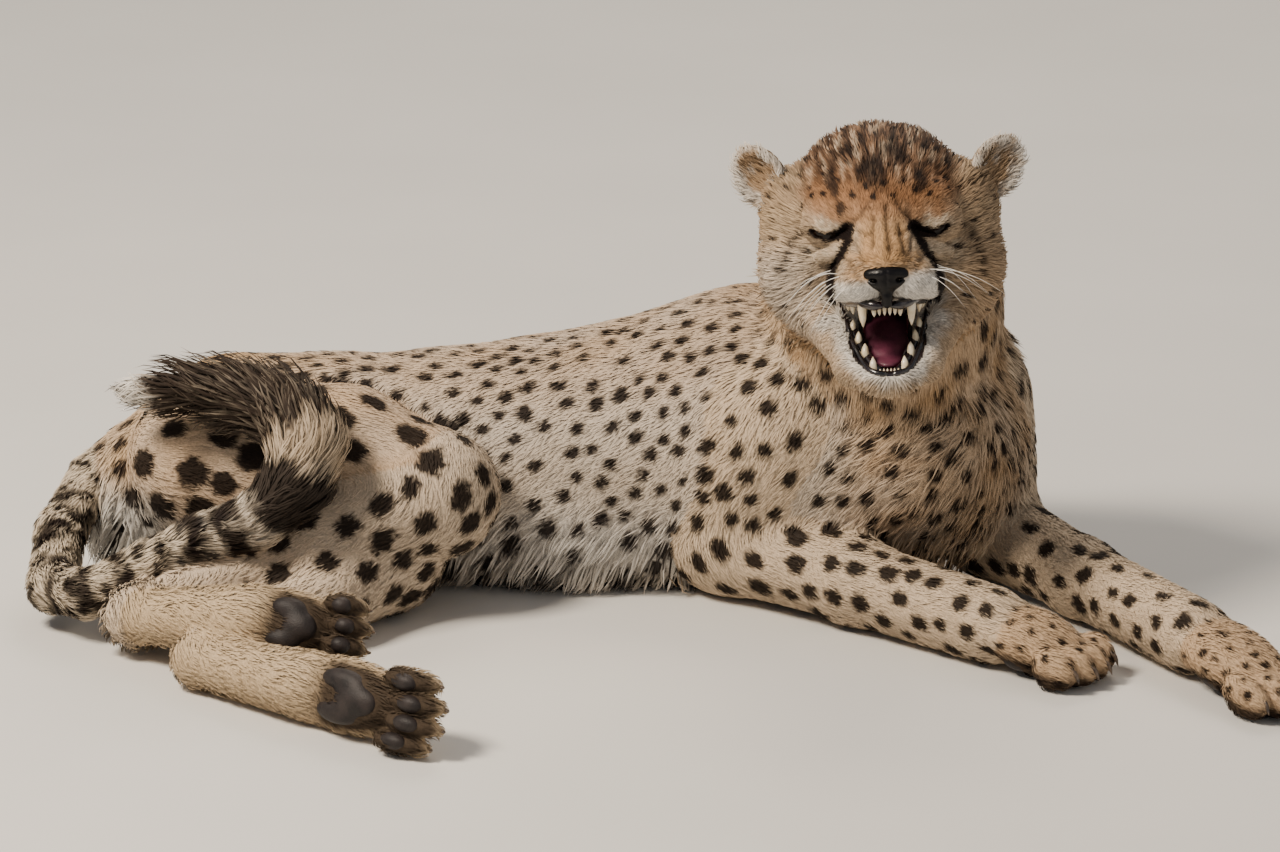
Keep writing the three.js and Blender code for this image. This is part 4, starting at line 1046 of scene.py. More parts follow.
@dataclass
class Markings:
    """Spots, lines and zones of colour, the same for the skin and for the coat on it.

    Attributes:
        palette: The colours.
        seed: Picks the places of the spots.
        centres: Where the spots are.
        axes: Which way each is long.
        sizes: Half length and half width of each.
        tree: The spots, sorted for searching.
        most: The most spots to place.
        tries: How many vertices to try.
    """

    palette: Palette = Palette()
    seed: int = 11
    centres: Array = field(default_factory=lambda: np.zeros((0, 3)))
    axes: Array = field(default_factory=lambda: np.zeros((0, 3)))
    sizes: Array = field(default_factory=lambda: np.zeros((0, 2)))
    tree: Optional[KDTree] = None
    most: int = 6000
    tries: int = 40000

    def spot_plan(self, points: Array, site: Site) -> tuple[Array, Array]:
        """How far apart spots stand and how long they are at each place, in millimetres.

        Args:
            points: Places on the skin.
            site: Their survey.

        Returns:
            Spacing, 0 where no spot grows, and length.
        """
        local, t, low = to_head(points), site.length, smooth(75, 30, points[:, 2])
        head = site.region == Region.HEAD
        crown = head & (local[:, 2] > 28)
        temple = head & ~crown & (np.abs(local[:, 0]) > 48) & (local[:, 1] > -40)
        spacing, length = 15.5 + 9 * low, 12.5 + 8 * low
        for where, apart, long in (
            (site.region == Region.NECK, 18, 15),
            (site.on("thigh"), 25, 25.5),
            (site.on("spine") & (points[:, 0] < -250), 19, 16),
            (site.on("shank"), np.where(t > 0.72, 0, 24), 22),
            (site.on("upper_arm"), 19, 16),
            (site.on("foreleg"), 23 - 4.5 * t, 21 - 6 * t),
            (site.on("forepaw"), 13, 8),
            (site.on("hind_foot", "ear"), 0, 0),
            (site.on("tail"), np.where(t * TAIL_LIMBS < 6.8, 15, 0), 8.5),
            (head, 0, 0),
            (crown, 11, 6),
            (temple, 21, 6),
        ):
            spacing, length = np.where(where, apart, spacing), np.where(where, long, length)
        return spacing, length

    def scatter(self, points: Array, site: Site) -> None:
        """Throws the spots over the skin, each at its spacing from those before it.

        Args:
            points: The skin's vertices.
            site: Their survey.
        """
        rng = np.random.default_rng(self.seed)
        spacing, length = self.spot_plan(points, site)
        order = rng.permutation(np.flatnonzero(spacing > 0))[: self.tries]
        spacing = spacing * (1 + 0.12 * waves(points, 60, 5))
        kept, places = [], np.zeros((self.most, 3))
        for index in order:
            gaps = np.linalg.norm(places[: len(kept)] - points[index], axis=1)
            if len(kept) < self.most and (not kept or gaps.min() >= spacing[index]):
                places[len(kept)] = points[index]
                kept.append(int(index))
        self.centres, self.axes = places[: len(kept)], site.lie[kept]
        long = length[kept] * rng.uniform(0.82, 1.15, len(kept)) / 2
        wide = rng.uniform(0.68, 0.92, len(kept)) * np.where(site.region[kept] == Region.TAIL, 2.1, 1)
        self.sizes = np.stack((long, long * wide), 1)
        self.tree = search_tree(self.centres, range(len(kept)))
        log.info("markings: %d spots", len(kept))

    def spots(self, points: Array, normals: Array) -> Array:
        """How much each place is covered by a spot, from 0 to 1.

        Args:
            points: Places in the source frame, one a row.
            normals: Which way the skin faces there.

        Returns:
            One share for each.
        """
        found = np.array([[hit[1] for hit in self.tree.find_n(p, 3)] for p in points])
        wobble = 1 + 0.16 * waves(points, 7, 21) + 0.08 * waves(points, 3, 22)
        best = np.full(len(points), 9.0)
        for number in found.T:
            off = points - self.centres[number]
            along, high = ((off * way).sum(1) for way in (self.axes[number], normals))
            across = np.sqrt(np.maximum((off**2).sum(1) - along**2 - high**2, 0))
            best = np.minimum(best, np.hypot(*(np.stack((along, across)) / self.sizes[number].T)))
        return smooth(1.12, 0.86, best * wobble)

    def colours(self, points: Array, normals: Array, site: Site) -> Array:
        """The coat's colour at places on the skin.

        Args:
            points: Places, in the source frame.
            normals: Which way the skin faces there.
            site: Their survey.

        Returns:
            Linear red, green and blue, one place a row.
        """
        p, paint = self.palette, Paint(np.tile(np.array(linear(self.palette.flank)), (len(points), 1)))
        x, y, z = points.T
        patch = 0.5 + 0.5 * waves(points, 55, 3)
        trunk, neck, tail = (site.region == r for r in (Region.TRUNK, Region.NECK, Region.TAIL))
        front = smooth(40, -5, y) * trunk
        behind = smooth(10, 70, y) * np.maximum(neck, trunk * smooth(20, 130, x))
        chest = trunk * smooth(130, 175, x) * smooth(70, 10, y)
        # The darker mane mixed with painted shade: nape colour in clouds over the neck and the chest below
        # the head.
        mane_and_shade = smooth(0.1, 0.8, waves(points, 34, 6)) * np.maximum(neck, chest)
        seat = smooth(-335, -375, x) * smooth(100, 60, z) * ~tail
        for code, share in (
            (p.back, smooth(110, 165, z + 0.35 * (y - 60)) * trunk * 0.85),
            (p.rump, trunk * smooth(-230, -300, x)),
            (p.belly, front * smooth(95, 38, z) * smooth(75, 35, x)),
            (p.breast, neck),
            (p.nape, behind * 0.8),
            (p.breast, chest),
            (p.nape, mane_and_shade * 0.65),
            (p.thigh, site.on("thigh") * (0.55 + 0.45 * patch)),
            (p.leg, site.region == Region.FORELEGS),
            (p.leg, site.on("shank") * 0.6),
            (p.paw, site.on("forepaw") * 0.8),
            (p.hind_foot, site.on("hind_foot")),
            (p.tail, tail),
            (p.belly, (1 - patch) * 0.25 * trunk),
            (p.white, seat * site.on("spine", "thigh")),
        ):
            paint.lay(code, share)
        self.head_zones(paint, points, normals, site)
        paint.lay(p.black, self.spots(points, normals) * 0.97)
        for foot in FEET:  # dark fur round the pads
            ahead, _, down = ((points - foot.heel) @ foot.axes.T / (foot.length, 1, foot.depth)).T
            near = site.on(foot.name) & (ahead > 0.05) & (ahead < 1.15)
            paint.lay(p.dark_fur_and_crease_shade, near * smooth(0.02, 0.2, down) * smooth(0.08, 0.28, ahead) * 0.92)
        self.tail_zones(paint, points, site)
        self.face_lines(paint, points, site)
        return paint.colour

    def tail_zones(self, paint: Paint, points: Array, site: Site) -> None:
        """Bands, black end and white tip of the tail, with painted highlights on the brush.

        Args:
            paint: The colours so far, which it lays over.
            points: Places in the source frame, one a row.
            site: Their survey.
        """
        p, tail = self.palette, site.region == Region.TAIL
        at = site.length * TAIL_LIMBS + 0.12 * waves(points, 18, 8)
        paint.lay(p.tail_white, tail * 0.3 * smooth(5, 8, at))
        paint.lay(p.throat, tail * 0.7 * smooth(8.2, 8.6, at))
        for number, (centre, half) in enumerate(TAIL_BANDS):
            broken = smooth(-0.5, 0.3, waves(points, 30, 9 + number) + 0.3) if number > 1 else 1
            paint.lay(p.brush, tail * smooth(half + 0.12, half - 0.1, np.abs(at - centre)) * broken * 0.96)
        # Painted highlights: pale streaks over the dark brush, where light glints on its hair.
        streaks = smooth(0.1, 0.7, waves(points, 9, 19)) * smooth(8.8, 9.6, at) * smooth(12.4, 11.6, at)
        paint.lay(p.tail, tail * streaks * 0.22)
        paint.lay(p.tail_white, tail * smooth(12.45, 12.8, at))

    def head_zones(self, paint: Paint, points: Array, normals: Array, site: Site) -> None:
        """The broad colours of head and ears, with painted shade on the head's left side and painted light on
        its lower right cheek.

        Args:
            paint: The colours so far, which it lays over.
            points: Places in the source frame, one a row.
            normals: Which way the skin faces there.
            site: Their survey.
        """
        p, local = self.palette, to_head(points)
        left, x, ahead, up = local[:, 0], np.abs(local[:, 0]), -local[:, 1], local[:, 2]
        noise, streaks = 4 * waves(points, 16, 31), waves(local * np.array((2.4, 0.5, 0.7)), 15, 33)
        over = smooth(4, 14, up) * smooth(52, 26, up) * smooth(60, 40, x) * (ahead > 10)
        brow = smooth(17, 11, up + 0.8 * noise) * smooth(3, 6, up) * smooth(26, 34, x) * smooth(54, 44, x)
        bridge = smooth(20, 13, x) * smooth(20, 2, up) * smooth(-22, -14, up) * (ahead > 40)
        muzzle = smooth(34, 26, x) * smooth(-8, -14, up) * smooth(-34, -27, up) * (ahead > 55)
        under = smooth(24, 30, x) * smooth(64, 52, x) * smooth(-4, -9, up) * smooth(-30, -18, up)
        lip = smooth(-28, -36, up - 6 * smooth(5, 20, left)) * (ahead > 52) * smooth(45, 36, x) * (up > -60)
        rim = smooth(15, 6, nearest(MOUTH_HOLLOWS, local) + 0.4 * noise) * (up < -42)
        for code, share in (
            (p.cheek, 1.0),
            # Painted shade and light: the head's left side, away from the key light, darker, and its lower
            # right cheek, towards it, paler.
            (p.nape, smooth(30, 75, left) * 0.4),
            (p.white, smooth(-40, -72, left) * smooth(5, -30, up) * 0.35),
            (p.crown, smooth(14, 30, up + noise) * 0.95),
            (p.dark_fur_and_crease_shade, smooth(20, 42, up) * smooth(-0.3, 0.4, streaks) * 0.8),
            (p.pale, smooth(30, 50, up) * smooth(-0.2, -0.8, streaks) * 0.4),
            (p.throat, smooth(48, 66, x + noise) * smooth(-20, 10, up) * 0.7),
            (p.nape, smooth(10, -30, ahead) * smooth(40, 10, up) * 0.8),
            (p.forehead, over * 0.75),
            (p.pale, brow * (ahead > 10) * (0.55 + 0.35 * waves(points, 4, 14))),
            (p.bridge, bridge * 0.9),
            (p.bridge, muzzle * (0.55 + 0.3 * waves(points, 5, 12))),
            (p.pale, under * (ahead > 20) * (0.35 + 0.3 * waves(points, 5, 13))),
            (p.white, lip),
            (p.white, rim * 0.85),
            (p.throat, smooth(-104, -114, up) * (ahead < 76) * 0.8),
        ):
            paint.lay(code, (site.region == Region.HEAD) * share)
        for side in SIDES:
            on = (site.region == Region.EARS) & (np.sign(left) == side)
            facing = normals @ ear_facing(side)
            leaf = (local - EAR * (side, 1, 1)) @ ear_turn(side) / EAR_RADII
            edge = smooth(0.45, 0.8, np.hypot(leaf[:, 0], leaf[:, 2]) + 0.1 * noise)
            paint.lay(p.ear_inner, on * smooth(-0.2, 0.4, facing))
            paint.lay(p.white, on * edge * smooth(-0.2, 0.4, facing) * 0.7)
            paint.lay(p.ear_back, on * smooth(0.2, -0.4, facing))
            paint.lay(p.black, on * smooth(0.0, -0.5, facing) * smooth(78, 60, up) * smooth(24, 40, up) * 0.8)

    def face_lines(self, paint: Paint, points: Array, site: Site) -> None:
        """Tear lines, lids, philtrum, lips and the inside of the mouth, with painted shade in the creases of
        the snarl and round the lid slits.

        Args:
            paint: The colours so far, which it lays over.
            points: Places in the source frame, one a row.
            site: Their survey.
        """
        p, local, head = self.palette, to_head(points), site.region == Region.HEAD
        left, x, ahead, up = local[:, 0], np.abs(local[:, 0]), -local[:, 1], local[:, 2]
        noise, front = 0.5 * waves(points, 6, 41), head * (ahead > 22)
        paint.lay(p.black, front * smooth(3.9, 2.6, line_distance(x, up, TEAR) + noise))
        # Painted shade: the creases of the snarl darkened along their bottoms.
        for line, radius, _ in CREASES[:-1]:
            fold = line_distance(left, up, line)
            paint.lay(p.dark_fur_and_crease_shade, front * smooth(radius + 0.9, radius - 0.9, fold) * 0.5)
        # The black lid rims, widened into painted shade under the brows, widest at the inner corners.
        for side, slit in EYE_SLITS.items():
            lid_rim_and_shade = line_distance(side * left, up, slit) - (3.0 + 0.12 * np.clip(44 - x, 0, 20))
            paint.lay(p.black, front * smooth(0.9, -0.5, lid_rim_and_shade + noise))
        paint.lay(p.black, front * smooth(1.9, 0.9, line_distance(x, up, TEMPLE) + noise) * 0.85)
        for middle, height, wide, tall in CROWN_PATCHES:
            patch = np.hypot((left - middle) / wide, (up - height) / tall) + 0.35 * waves(points, 9, 43)
            paint.lay(p.black, head * smooth(1.15, 0.55, patch) * 0.85)
        width = 2.6 + 0.34 * np.clip(-34 - up, 0, 14)
        philtrum = smooth(1.2, -0.6, x - width) * (ahead > 76) * smooth(-29, -33, up) * (up > -62)
        paint.lay(p.lip, head * philtrum)
        freckle = smooth(0.62, 0.9, waves(points, 4.2, 51)) * smooth(12, 16, x) * smooth(-18, -22, up)
        paint.lay(p.black, head * freckle * smooth(-36, -32, up) * (ahead > 60) * 0.7)
        mouth = nearest(MOUTH_HOLLOWS, local)
        paint.lay(p.lip, head * smooth(4.4, 3.2, mouth + 0.4 * noise) * smooth(-44, -47, up))
        paint.lay(p.mouth, head * smooth(0.9, 0.2, mouth) * smooth(78, 60, ahead))
        paint.colour *= (1 + head * (0.13 * waves(local, 5, 77) + 0.1 * waves(local, 12, 78)))[:, None]


# ---------------------------------------------------------------- the coat
@dataclass(frozen=True)
class Growth:
    """How the coat of one region is made.

    Attributes:
        name: Name of its pieces.
        region: Where it grows.
        tufts: How many tufts in all.
        stations: Rings along each tuft, one to three.
        pieces: How many meshes they are shared between.
        clump_mm: How far apart the clumps stand whose tips draw together.
        seed: Picks roots and variation.
    """

    name: str
    region: Region
    tufts: int
    stations: int
    pieces: int
    clump_mm: float
    seed: int


GROWTHS: tuple[Growth, ...] = (
    Growth("flank_coat", Region.TRUNK, 34000, 2, 2, 7, 1),
    Growth("neck_coat", Region.NECK, 19500, 2, 1, 10, 2),
    Growth("foreleg_coat", Region.FORELEGS, 24000, 2, 2, 6, 3),
    Growth("hind_leg_coat", Region.HINDLEGS, 20000, 2, 2, 6, 4),
    Growth("tail_coat", Region.TAIL, 8000, 3, 1, 10, 5),
    Growth("head_coat", Region.HEAD, 37500, 2, 2, 5, 6),
    Growth("ear_coat", Region.EARS, 3500, 2, 1, 4, 7),
)
SHORTEST = 3.0
TRIANGLE = ((-0.5, -0.08), (0.5, -0.08), (0.0, 0.3))  # a hair clump's section: across and up, in widths
# Bare skin, in millimetres: what lies on the floor, what is buried in another part, and rims of bare
# skin round mouth, nose leather, lids and pads.
LAIN_ON, BURIED, LIP_RIM, NOSE_RIM, LID_RIM, PAD_RIM = 2.6, 2.5, 3.4, 0.8, 2.2, 0.2
RING_WIDTHS = (0.85, 1.0, 0.72)  # how wide each ring of a tuft is, in widths
BAKE_CORNERS = ((0.0, 0.0), (0.003, 0.0), (0.0015, 0.003))  # a tuft's patch on the unwrapped skin


@dataclass
class Pelt:
    """How the hair grows at places on the skin.

    Attributes:
        points: The places, in the source frame.
        normals: Which way the skin faces.
        site: Their survey.
        length: Length of each tuft in millimetres.
        height: How high its tip stands off the skin.
        clump: Share of the way its tip is drawn to its clump's.
        density: How densely tufts stand there against the region's mean.
    """

    points: Array
    normals: Array
    site: Site

    def __post_init__(self) -> None:
        """Works out the hair of every region."""
        (x, y, z), site = self.points.T, self.site
        trunk, neck, fore, hind, tail, head, ears = (site.region == region for region in Region)
        low = smooth(90, 34, z)
        chest = trunk * smooth(110, 190, x) * smooth(60, 10, y)
        seat = smooth(-330, -365, x) * smooth(115, 60, z) * (trunk | hind)
        length = 9.5 + trunk * (3 * smooth(150, 175, z) + 18 * low * smooth(40, 0, y))
        length = length + 10 * chest + 12 * seat
        slope = 0.17 + trunk * low * (0.08 + 0.25 * smooth(50, 10, y)) + 0.1 * chest + 0.3 * seat
        face_length, face_slope = self.head_hair()
        facing = np.zeros(len(x))
        for side in SIDES:
            on = np.sign(to_head(self.points)[:, 0]) == side
            facing[on] = self.normals[on] @ ear_facing(side)
        inner, at = smooth(0.1, 0.7, facing), site.length
        tail_length = 14 + 22 * smooth(0.45, 0.8, at) - 14 * smooth(0.9, 1, at)
        clump = 0.35 + 0.15 * low * trunk
        for where, *new in (
            (neck, 20 + 8 * smooth(-30, 40, y), 0.26, 0.42),
            (fore, 9.5, slope, clump),
            (site.on("upper_arm"), 13, slope, clump),
            (site.on("forepaw"), 9, 0.24, clump),
            (hind, 10.5, slope, clump),
            (site.on("thigh"), 8 + 14 * seat, slope, clump),
            (site.on("hind_foot"), 10, 0.26, clump),
            (tail, tail_length, 0.26 + 0.2 * smooth(0.55, 0.9, at), 0.42),
            (head, face_length, face_slope, 0.12 + 0.3 * smooth(6, 20, face_length)),
            (ears, 4.5 + 6 * inner, 0.25 + 0.25 * inner, 0.1),
        ):
            length, slope, clump = (np.where(where, *pair) for pair in zip(new, (length, slope, clump)))
        self.length, self.clump = length * (1 + 0.12 * waves(self.points, 40, 61)), clump
        self.height = self.length * slope
        self.density = (12 / np.maximum(self.length, SHORTEST)) ** 1.5

    def head_hair(self) -> tuple[Array, Array]:
        """Length of hair on the head and how steeply it stands."""
        local = to_head(self.points)
        x, back, up = np.abs(local[:, 0]), local[:, 1], local[:, 2]
        nape = smooth(30, 70, back) * smooth(30, 0, up)
        length = 5.4 + 3.4 * smooth(-64, -30, back) + 5 * smooth(-26, 24, back) + 5 * smooth(46, 66, x)
        length += 8 * smooth(-24, -60, up) * smooth(-44, -8, back)
        length += 9 * smooth(-6, 30, back) * smooth(10, -50, up)
        length += 4.5 * smooth(-98, -106, up) + 7 * smooth(26, 56, up) + 12 * nape
        near_eye = 4.0 + 0.2 * np.hypot(x - 38, (up - 3) * 1.3)
        length = np.where(back < -30, np.minimum(length, near_eye), length)
        slope = 0.27 + 0.12 * smooth(0, 40, back) + 0.12 * smooth(-90, -106, up) + 0.05 * smooth(36, 62, up)
        return np.maximum(length, SHORTEST), slope + 0.25 * nape


def grows(points: Array, normals: Array, kinds: Array) -> Array:
    """Whether hair grows at each place: not on bare skin, nor inside another part.

    Args:
        points: Places in the source frame, one a row.
        normals: Which way the skin faces.
        kinds: 0 on the body, 1 on the head, 2 on an ear.

    Returns:
        One answer for each.
    """
    local, head = to_head(points), kinds == 1
    up, ahead = local[:, 2], -local[:, 1]
    bare = (points[:, 2] < LAIN_ON) & (normals[:, 2] < -0.7)
    bare |= (nearest(HEAD_FORMS, local) < -BURIED) & ~head
    bare |= (nearest(CHAINS["neck"].limbs(), points) < -BURIED - 0.5) & head
    bare |= head & (nearest(MOUTH_HOLLOWS, local) < LIP_RIM) & (up < -45)
    bare |= head & (nearest(NOSE_FORMS, local) < NOSE_RIM)
    for side, slit in EYE_SLITS.items():
        bare |= head & (ahead > 25) & (line_distance(side * local[:, 0], up, slit) < LID_RIM)
    for egg in (egg for foot in FEET for egg in foot.pads()):
        bare |= np.linalg.norm(((points - egg.centre) @ egg.turn) / (egg.radii + PAD_RIM), axis=1) < 1
    return ~bare


@dataclass
class Coat:
    """The hair of the whole animal, grown as closed tapered tufts on the skin.

    Attributes:
        skin: What it grows on.
        site: Survey of the skin's vertices.
        markings: What colours it.
        offset: From the source frame to the row frame, in millimetres.
    """

    skin: Skin
    site: Site
    markings: Markings
    offset: Array

    def __post_init__(self) -> None:
        """Sorts the skin's vertices for searching."""
        self.tree = search_tree(self.skin.vertices, range(len(self.skin.vertices)))

    def roots(self, growth: Growth) -> tuple[Array, Array, Array]:
        """Chooses where tufts grow in a region.

        Args:
            growth: The region's growth.

        Returns:
            Places, normals and kinds of skin.
        """
        rng, skin = np.random.default_rng(growth.seed), self.skin
        quads = skin.quads[self.site.region[skin.quads[:, 0]] == growth.region]
        a, b, c, d = (skin.vertices[quads[:, i]] for i in range(4))
        middle, facing = (a + b + c + d) / 4, unit(sum(skin.normals[quads[:, i]] for i in range(4)))
        weight = np.linalg.norm(np.cross(c - a, d - b), axis=1) / 2
        weight = weight * Pelt(middle, facing, self.site.take(quads[:, 0])).density
        steps = np.cumsum(weight * grows(middle, facing, skin.kinds[quads[:, 0]]))
        want = growth.tufts // 1
        at = (np.arange(want) + rng.random(want)) / want * steps[-1]
        corners = quads[np.minimum(np.searchsorted(steps, at), len(quads) - 1)]
        u, v = rng.random((2, want, 1))
        share = ((1 - u) * (1 - v), u * (1 - v), u * v, (1 - u) * v)
        points, normals = (sum(s * values[corners[:, i]] for i, s in enumerate(share))
                           for values in (skin.vertices, skin.normals))
        normals, kinds = unit(normals), skin.kinds[corners[:, 0]]
        keep = grows(points, normals, kinds)
        return points[keep], normals[keep], kinds[keep]

    def grow(self, growth: Growth) -> list[bpy.types.Object]:
        """Makes the pieces of coat of one region.

        Args:
            growth: How it grows.

        Returns:
            The mesh objects.
        """
        rng = np.random.default_rng(growth.seed + 100)
        points, normals, kinds = self.roots(growth)
        site = survey(points, normals, kinds)
        hair, count = Pelt(points, normals, site), len(points)
        length = hair.length * rng.uniform(0.72, 1.18, count)
        swirl = rng.normal(0, 0.13, (count, 1)) + 0.16 * waves(points, 38, 71)[:, None]
        lie = unit(site.lie + np.cross(normals, site.lie) * swirl)
        aim = points + lie * length[:, None]
        found = np.array([self.tree.find(p)[1] for p in aim], int)
        lift = unit(self.skin.normals[found] + 0.4 * normals)
        height = (hair.height * rng.uniform(0.6, 1.35, count))[:, None]
        ends = aim - ((aim - self.skin.vertices[found]) * lift).sum(1)[:, None] * lift
        tips = self.clumped(growth, points, ends + height * lift, hair.clump, rng)
        rings = []
        for t in np.arange(growth.stations + 1) / growth.stations:
            places = points + t * (ends - points) + rng.normal(0, 0.6, points.shape)
            facing = unit((1 - t) * normals + t * lift)
            rings.append(self.markings.colours(places, facing, survey(places, facing, kinds)))
        colours, head = np.stack(rings, 1), site.region == Region.HEAD
        colours *= 1 + np.where(head, 0.3, 0.11)[:, None, None] * rng.uniform(-1, 0.9, (count, 1, 1))
        width = np.where(head, 0.72 + 0.024 * length, 0.55 + 0.036 * length)
        order = np.argsort(points @ np.array((1.0, 0.35, -0.3)), kind="stable")
        pieces = []
        for number, rows in enumerate(np.array_split(order, growth.pieces)):
            names, column = np.unique(site.name[rows], return_inverse=True)
            across = (column + 0.02 + 0.96 * site.length[rows]) / len(names)
            patches = np.stack((across, 0.01 + 0.98 * site.round[rows]), 1)
            kept = (values[rows] for values in (points, tips, normals, lift, lie, height, width, colours))
            name = growth.name if growth.pieces == 1 else f"{growth.name}_{number + 1}"
            tufts = Tufts(*kept, patches)
            pieces.append(tufts.mesh(name, growth.stations, self.offset, growth.seed + number))
        return pieces

    def clumped(
        self, growth: Growth, points: Array, tips: Array, share: Array, rng: np.random.Generator
    ) -> Array:
        """Draws the tips of neighbouring tufts together.

        Args:
            growth: How the region grows.
            points: Roots.
            tips: Tips.
            share: How much each is drawn.
            rng: Source of variation.

        Returns:
            The moved tips.
        """
        every = max(2, int(growth.clump_mm**2 / 6))
        tree = search_tree(points, rng.permutation(len(points))[: max(4, len(points) // every)])
        leader = np.array([tree.find(p)[1] for p in points], int)
        near = np.linalg.norm(points[leader] - points, axis=1) < 2.5 * growth.clump_mm
        share = (share * near * rng.uniform(0.5, 1.3, len(points)))[:, None]
        return tips + np.clip(share, 0, 0.85) * (tips[leader] - tips)


@dataclass
class Tufts:
    """A set of tufts that becomes one mesh.

    Attributes:
        roots: Where each starts.
        tips: Where each ends.
        normals: The skin's normals at the roots.
        lifts: The skin's normals near the tips.
        lies: Which way each sets out.
        heights: How high the tips stand, one a row.
        widths: Across each tuft.
        colours: Linear colour of each ring of each, the tip last.
        patches: Place of each on the unwrapped skin.
    """

    roots: Array
    tips: Array
    normals: Array
    lifts: Array
    lies: Array
    heights: Array
    widths: Array
    colours: Array
    patches: Array

    def mesh(self, name: str, stations: int, offset: Array, seed: int) -> bpy.types.Object:
        """Builds the closed tufts.

        Args:
            name: The object's name.
            stations: Rings along each tuft.
            offset: From the source frame to the row frame.
            seed: Picks how each is rolled.

        Returns:
            The object, in metres.
        """
        count = len(self.roots)
        span = np.linalg.norm(self.tips - self.roots, axis=1, keepdims=True)
        start = self.roots - 0.5 * self.widths[:, None] * self.normals
        bend = start + 0.5 * span * self.lies + (0.9 * self.heights + 0.6) * self.normals
        roll = np.random.default_rng(seed).normal(0, 0.4, (count, 1))
        rows, facing = [], []
        for ring in range(stations + 1):
            t = ring / stations * 0.999
            at = (1 - t) ** 2 * start + 2 * t * (1 - t) * bend + t * t * self.tips
            ahead = unit(2 * (1 - t) * (bend - start) + 2 * t * (self.tips - bend))
            over = unit((1 - t) * self.normals + t * self.lifts)
            side = unit(np.cross(ahead, over))
            crest = np.cross(side, ahead)
            cos, sin = np.cos(roll), np.sin(roll)
            side, crest = side * cos + crest * sin, crest * cos - side * sin
            wide = (self.widths * RING_WIDTHS[ring if stations > 1 and ring < stations else 0])[:, None]
            for x, y in TRIANGLE if ring < stations else ((0, 0),):
                rows.append(at + wide * (x * side + y * crest))
                facing.append(unit(0.85 * over + 0.32 * (x * side * 1.4 + y * crest)))
        per = len(rows)
        along = np.tile(np.repeat(np.arange(stations + 1) / stations, 3)[:per], count)
        faces, last = [(0, 1, 2)], per - 4
        for low in range(0, last, 3):
            for i, j in ((0, 1), (1, 2), (2, 0)):
                faces += [(low + j, low + i, low + 3 + j), (low + 3 + j, low + i, low + 3 + i)]
        faces += [(last + j, last + i, per - 1) for i, j in ((0, 1), (1, 2), (2, 0))]
        triangles = (np.array(faces)[None] + per * np.arange(count)[:, None, None]).reshape(-1, 3)
        vertices = np.stack(rows, 1).reshape(-1, 3)
        vertices[:, 2] = np.maximum(vertices[:, 2], 0.4 + 0.5 * along)
        corner = np.array([BAKE_CORNERS[i % 3] for i in range(per)])
        places = (np.clip(self.patches, 0.002, 0.995)[:, None, :] + corner).reshape(-1, 2)
        colours = np.repeat(self.colours, 3, axis=1)[:, :per].reshape(-1, 3)
        normals = np.stack(facing, 1).reshape(-1, 3)
        return mesh_object(name, (vertices, triangles), offset, colours, normals, along, places)


# ---------------------------------------------------------------- meshes
def mesh_object(
    name: str, shape: Mesh, offset: Array, colours: Optional[Array] = None, normals: Optional[Array] = None,
    along: Optional[Array] = None, places: Optional[Array] = None,
) -> bpy.types.Object:
    """Makes a mesh object from arrays.

    Args:
        name: The object's name.
        shape: Vertices in the source frame, and faces.
        offset: From the source frame to the row frame, in millimetres.
        colours: Linear colours of the vertices.
        normals: Shading normals of the vertices, if they aren't the faces' own.
        along: From 0 at the root to 1 at the tip.
        places: Place of each vertex on the unwrapped skin.

    Returns:
        The object, linked to the scene.
    """
    vertices, faces = shape
    mesh = bpy.data.meshes.new(name)
    mesh.vertices.add(len(vertices))
    mesh.vertices.foreach_set("co", ((vertices + offset) / 1000).astype(np.float32).ravel())
    mesh.loops.add(faces.size)
    mesh.loops.foreach_set("vertex_index", faces.astype(np.int32).ravel())
    mesh.polygons.add(len(faces))
    mesh.polygons.foreach_set("loop_start", np.arange(0, faces.size, faces.shape[1], dtype=np.int32))
    mesh.polygons.foreach_set("use_smooth", np.ones(len(faces), bool))
    mesh.update(calc_edges=True)
    if colours is not None:
        four = np.concatenate((colours, np.ones((len(colours), 1))), 1).astype(np.float32)
        mesh.attributes.new("coat", "FLOAT_COLOR", "POINT").data.foreach_set("color", four.ravel())
    if along is not None:
        mesh.attributes.new("along", "FLOAT", "POINT").data.foreach_set("value", along.astype(np.float32))
    if places is not None:
        layer = mesh.uv_layers.new(name="OFBake")
        layer.data.foreach_set("uv", places[faces.ravel()].astype(np.float32).ravel())
    if normals is not None:
        mesh.normals_split_custom_set_from_vertices(normals.astype(np.float32))
    made = bpy.data.objects.new(name, mesh)
    bpy.context.scene.collection.objects.link(made)
    return made


def joined(parts: Sequence[Mesh]) -> Mesh:
    """Several meshes as one.

    Args:
        parts: The meshes, all of them with faces of one kind.

    Returns:
        The mesh of all.
    """
    starts = np.cumsum([0, *(len(vertices) for vertices, _ in parts)])
    faces = [part_faces + start for (_, part_faces), start in zip(parts, starts)]
    return np.concatenate([vertices for vertices, _ in parts]), np.concatenate(faces)


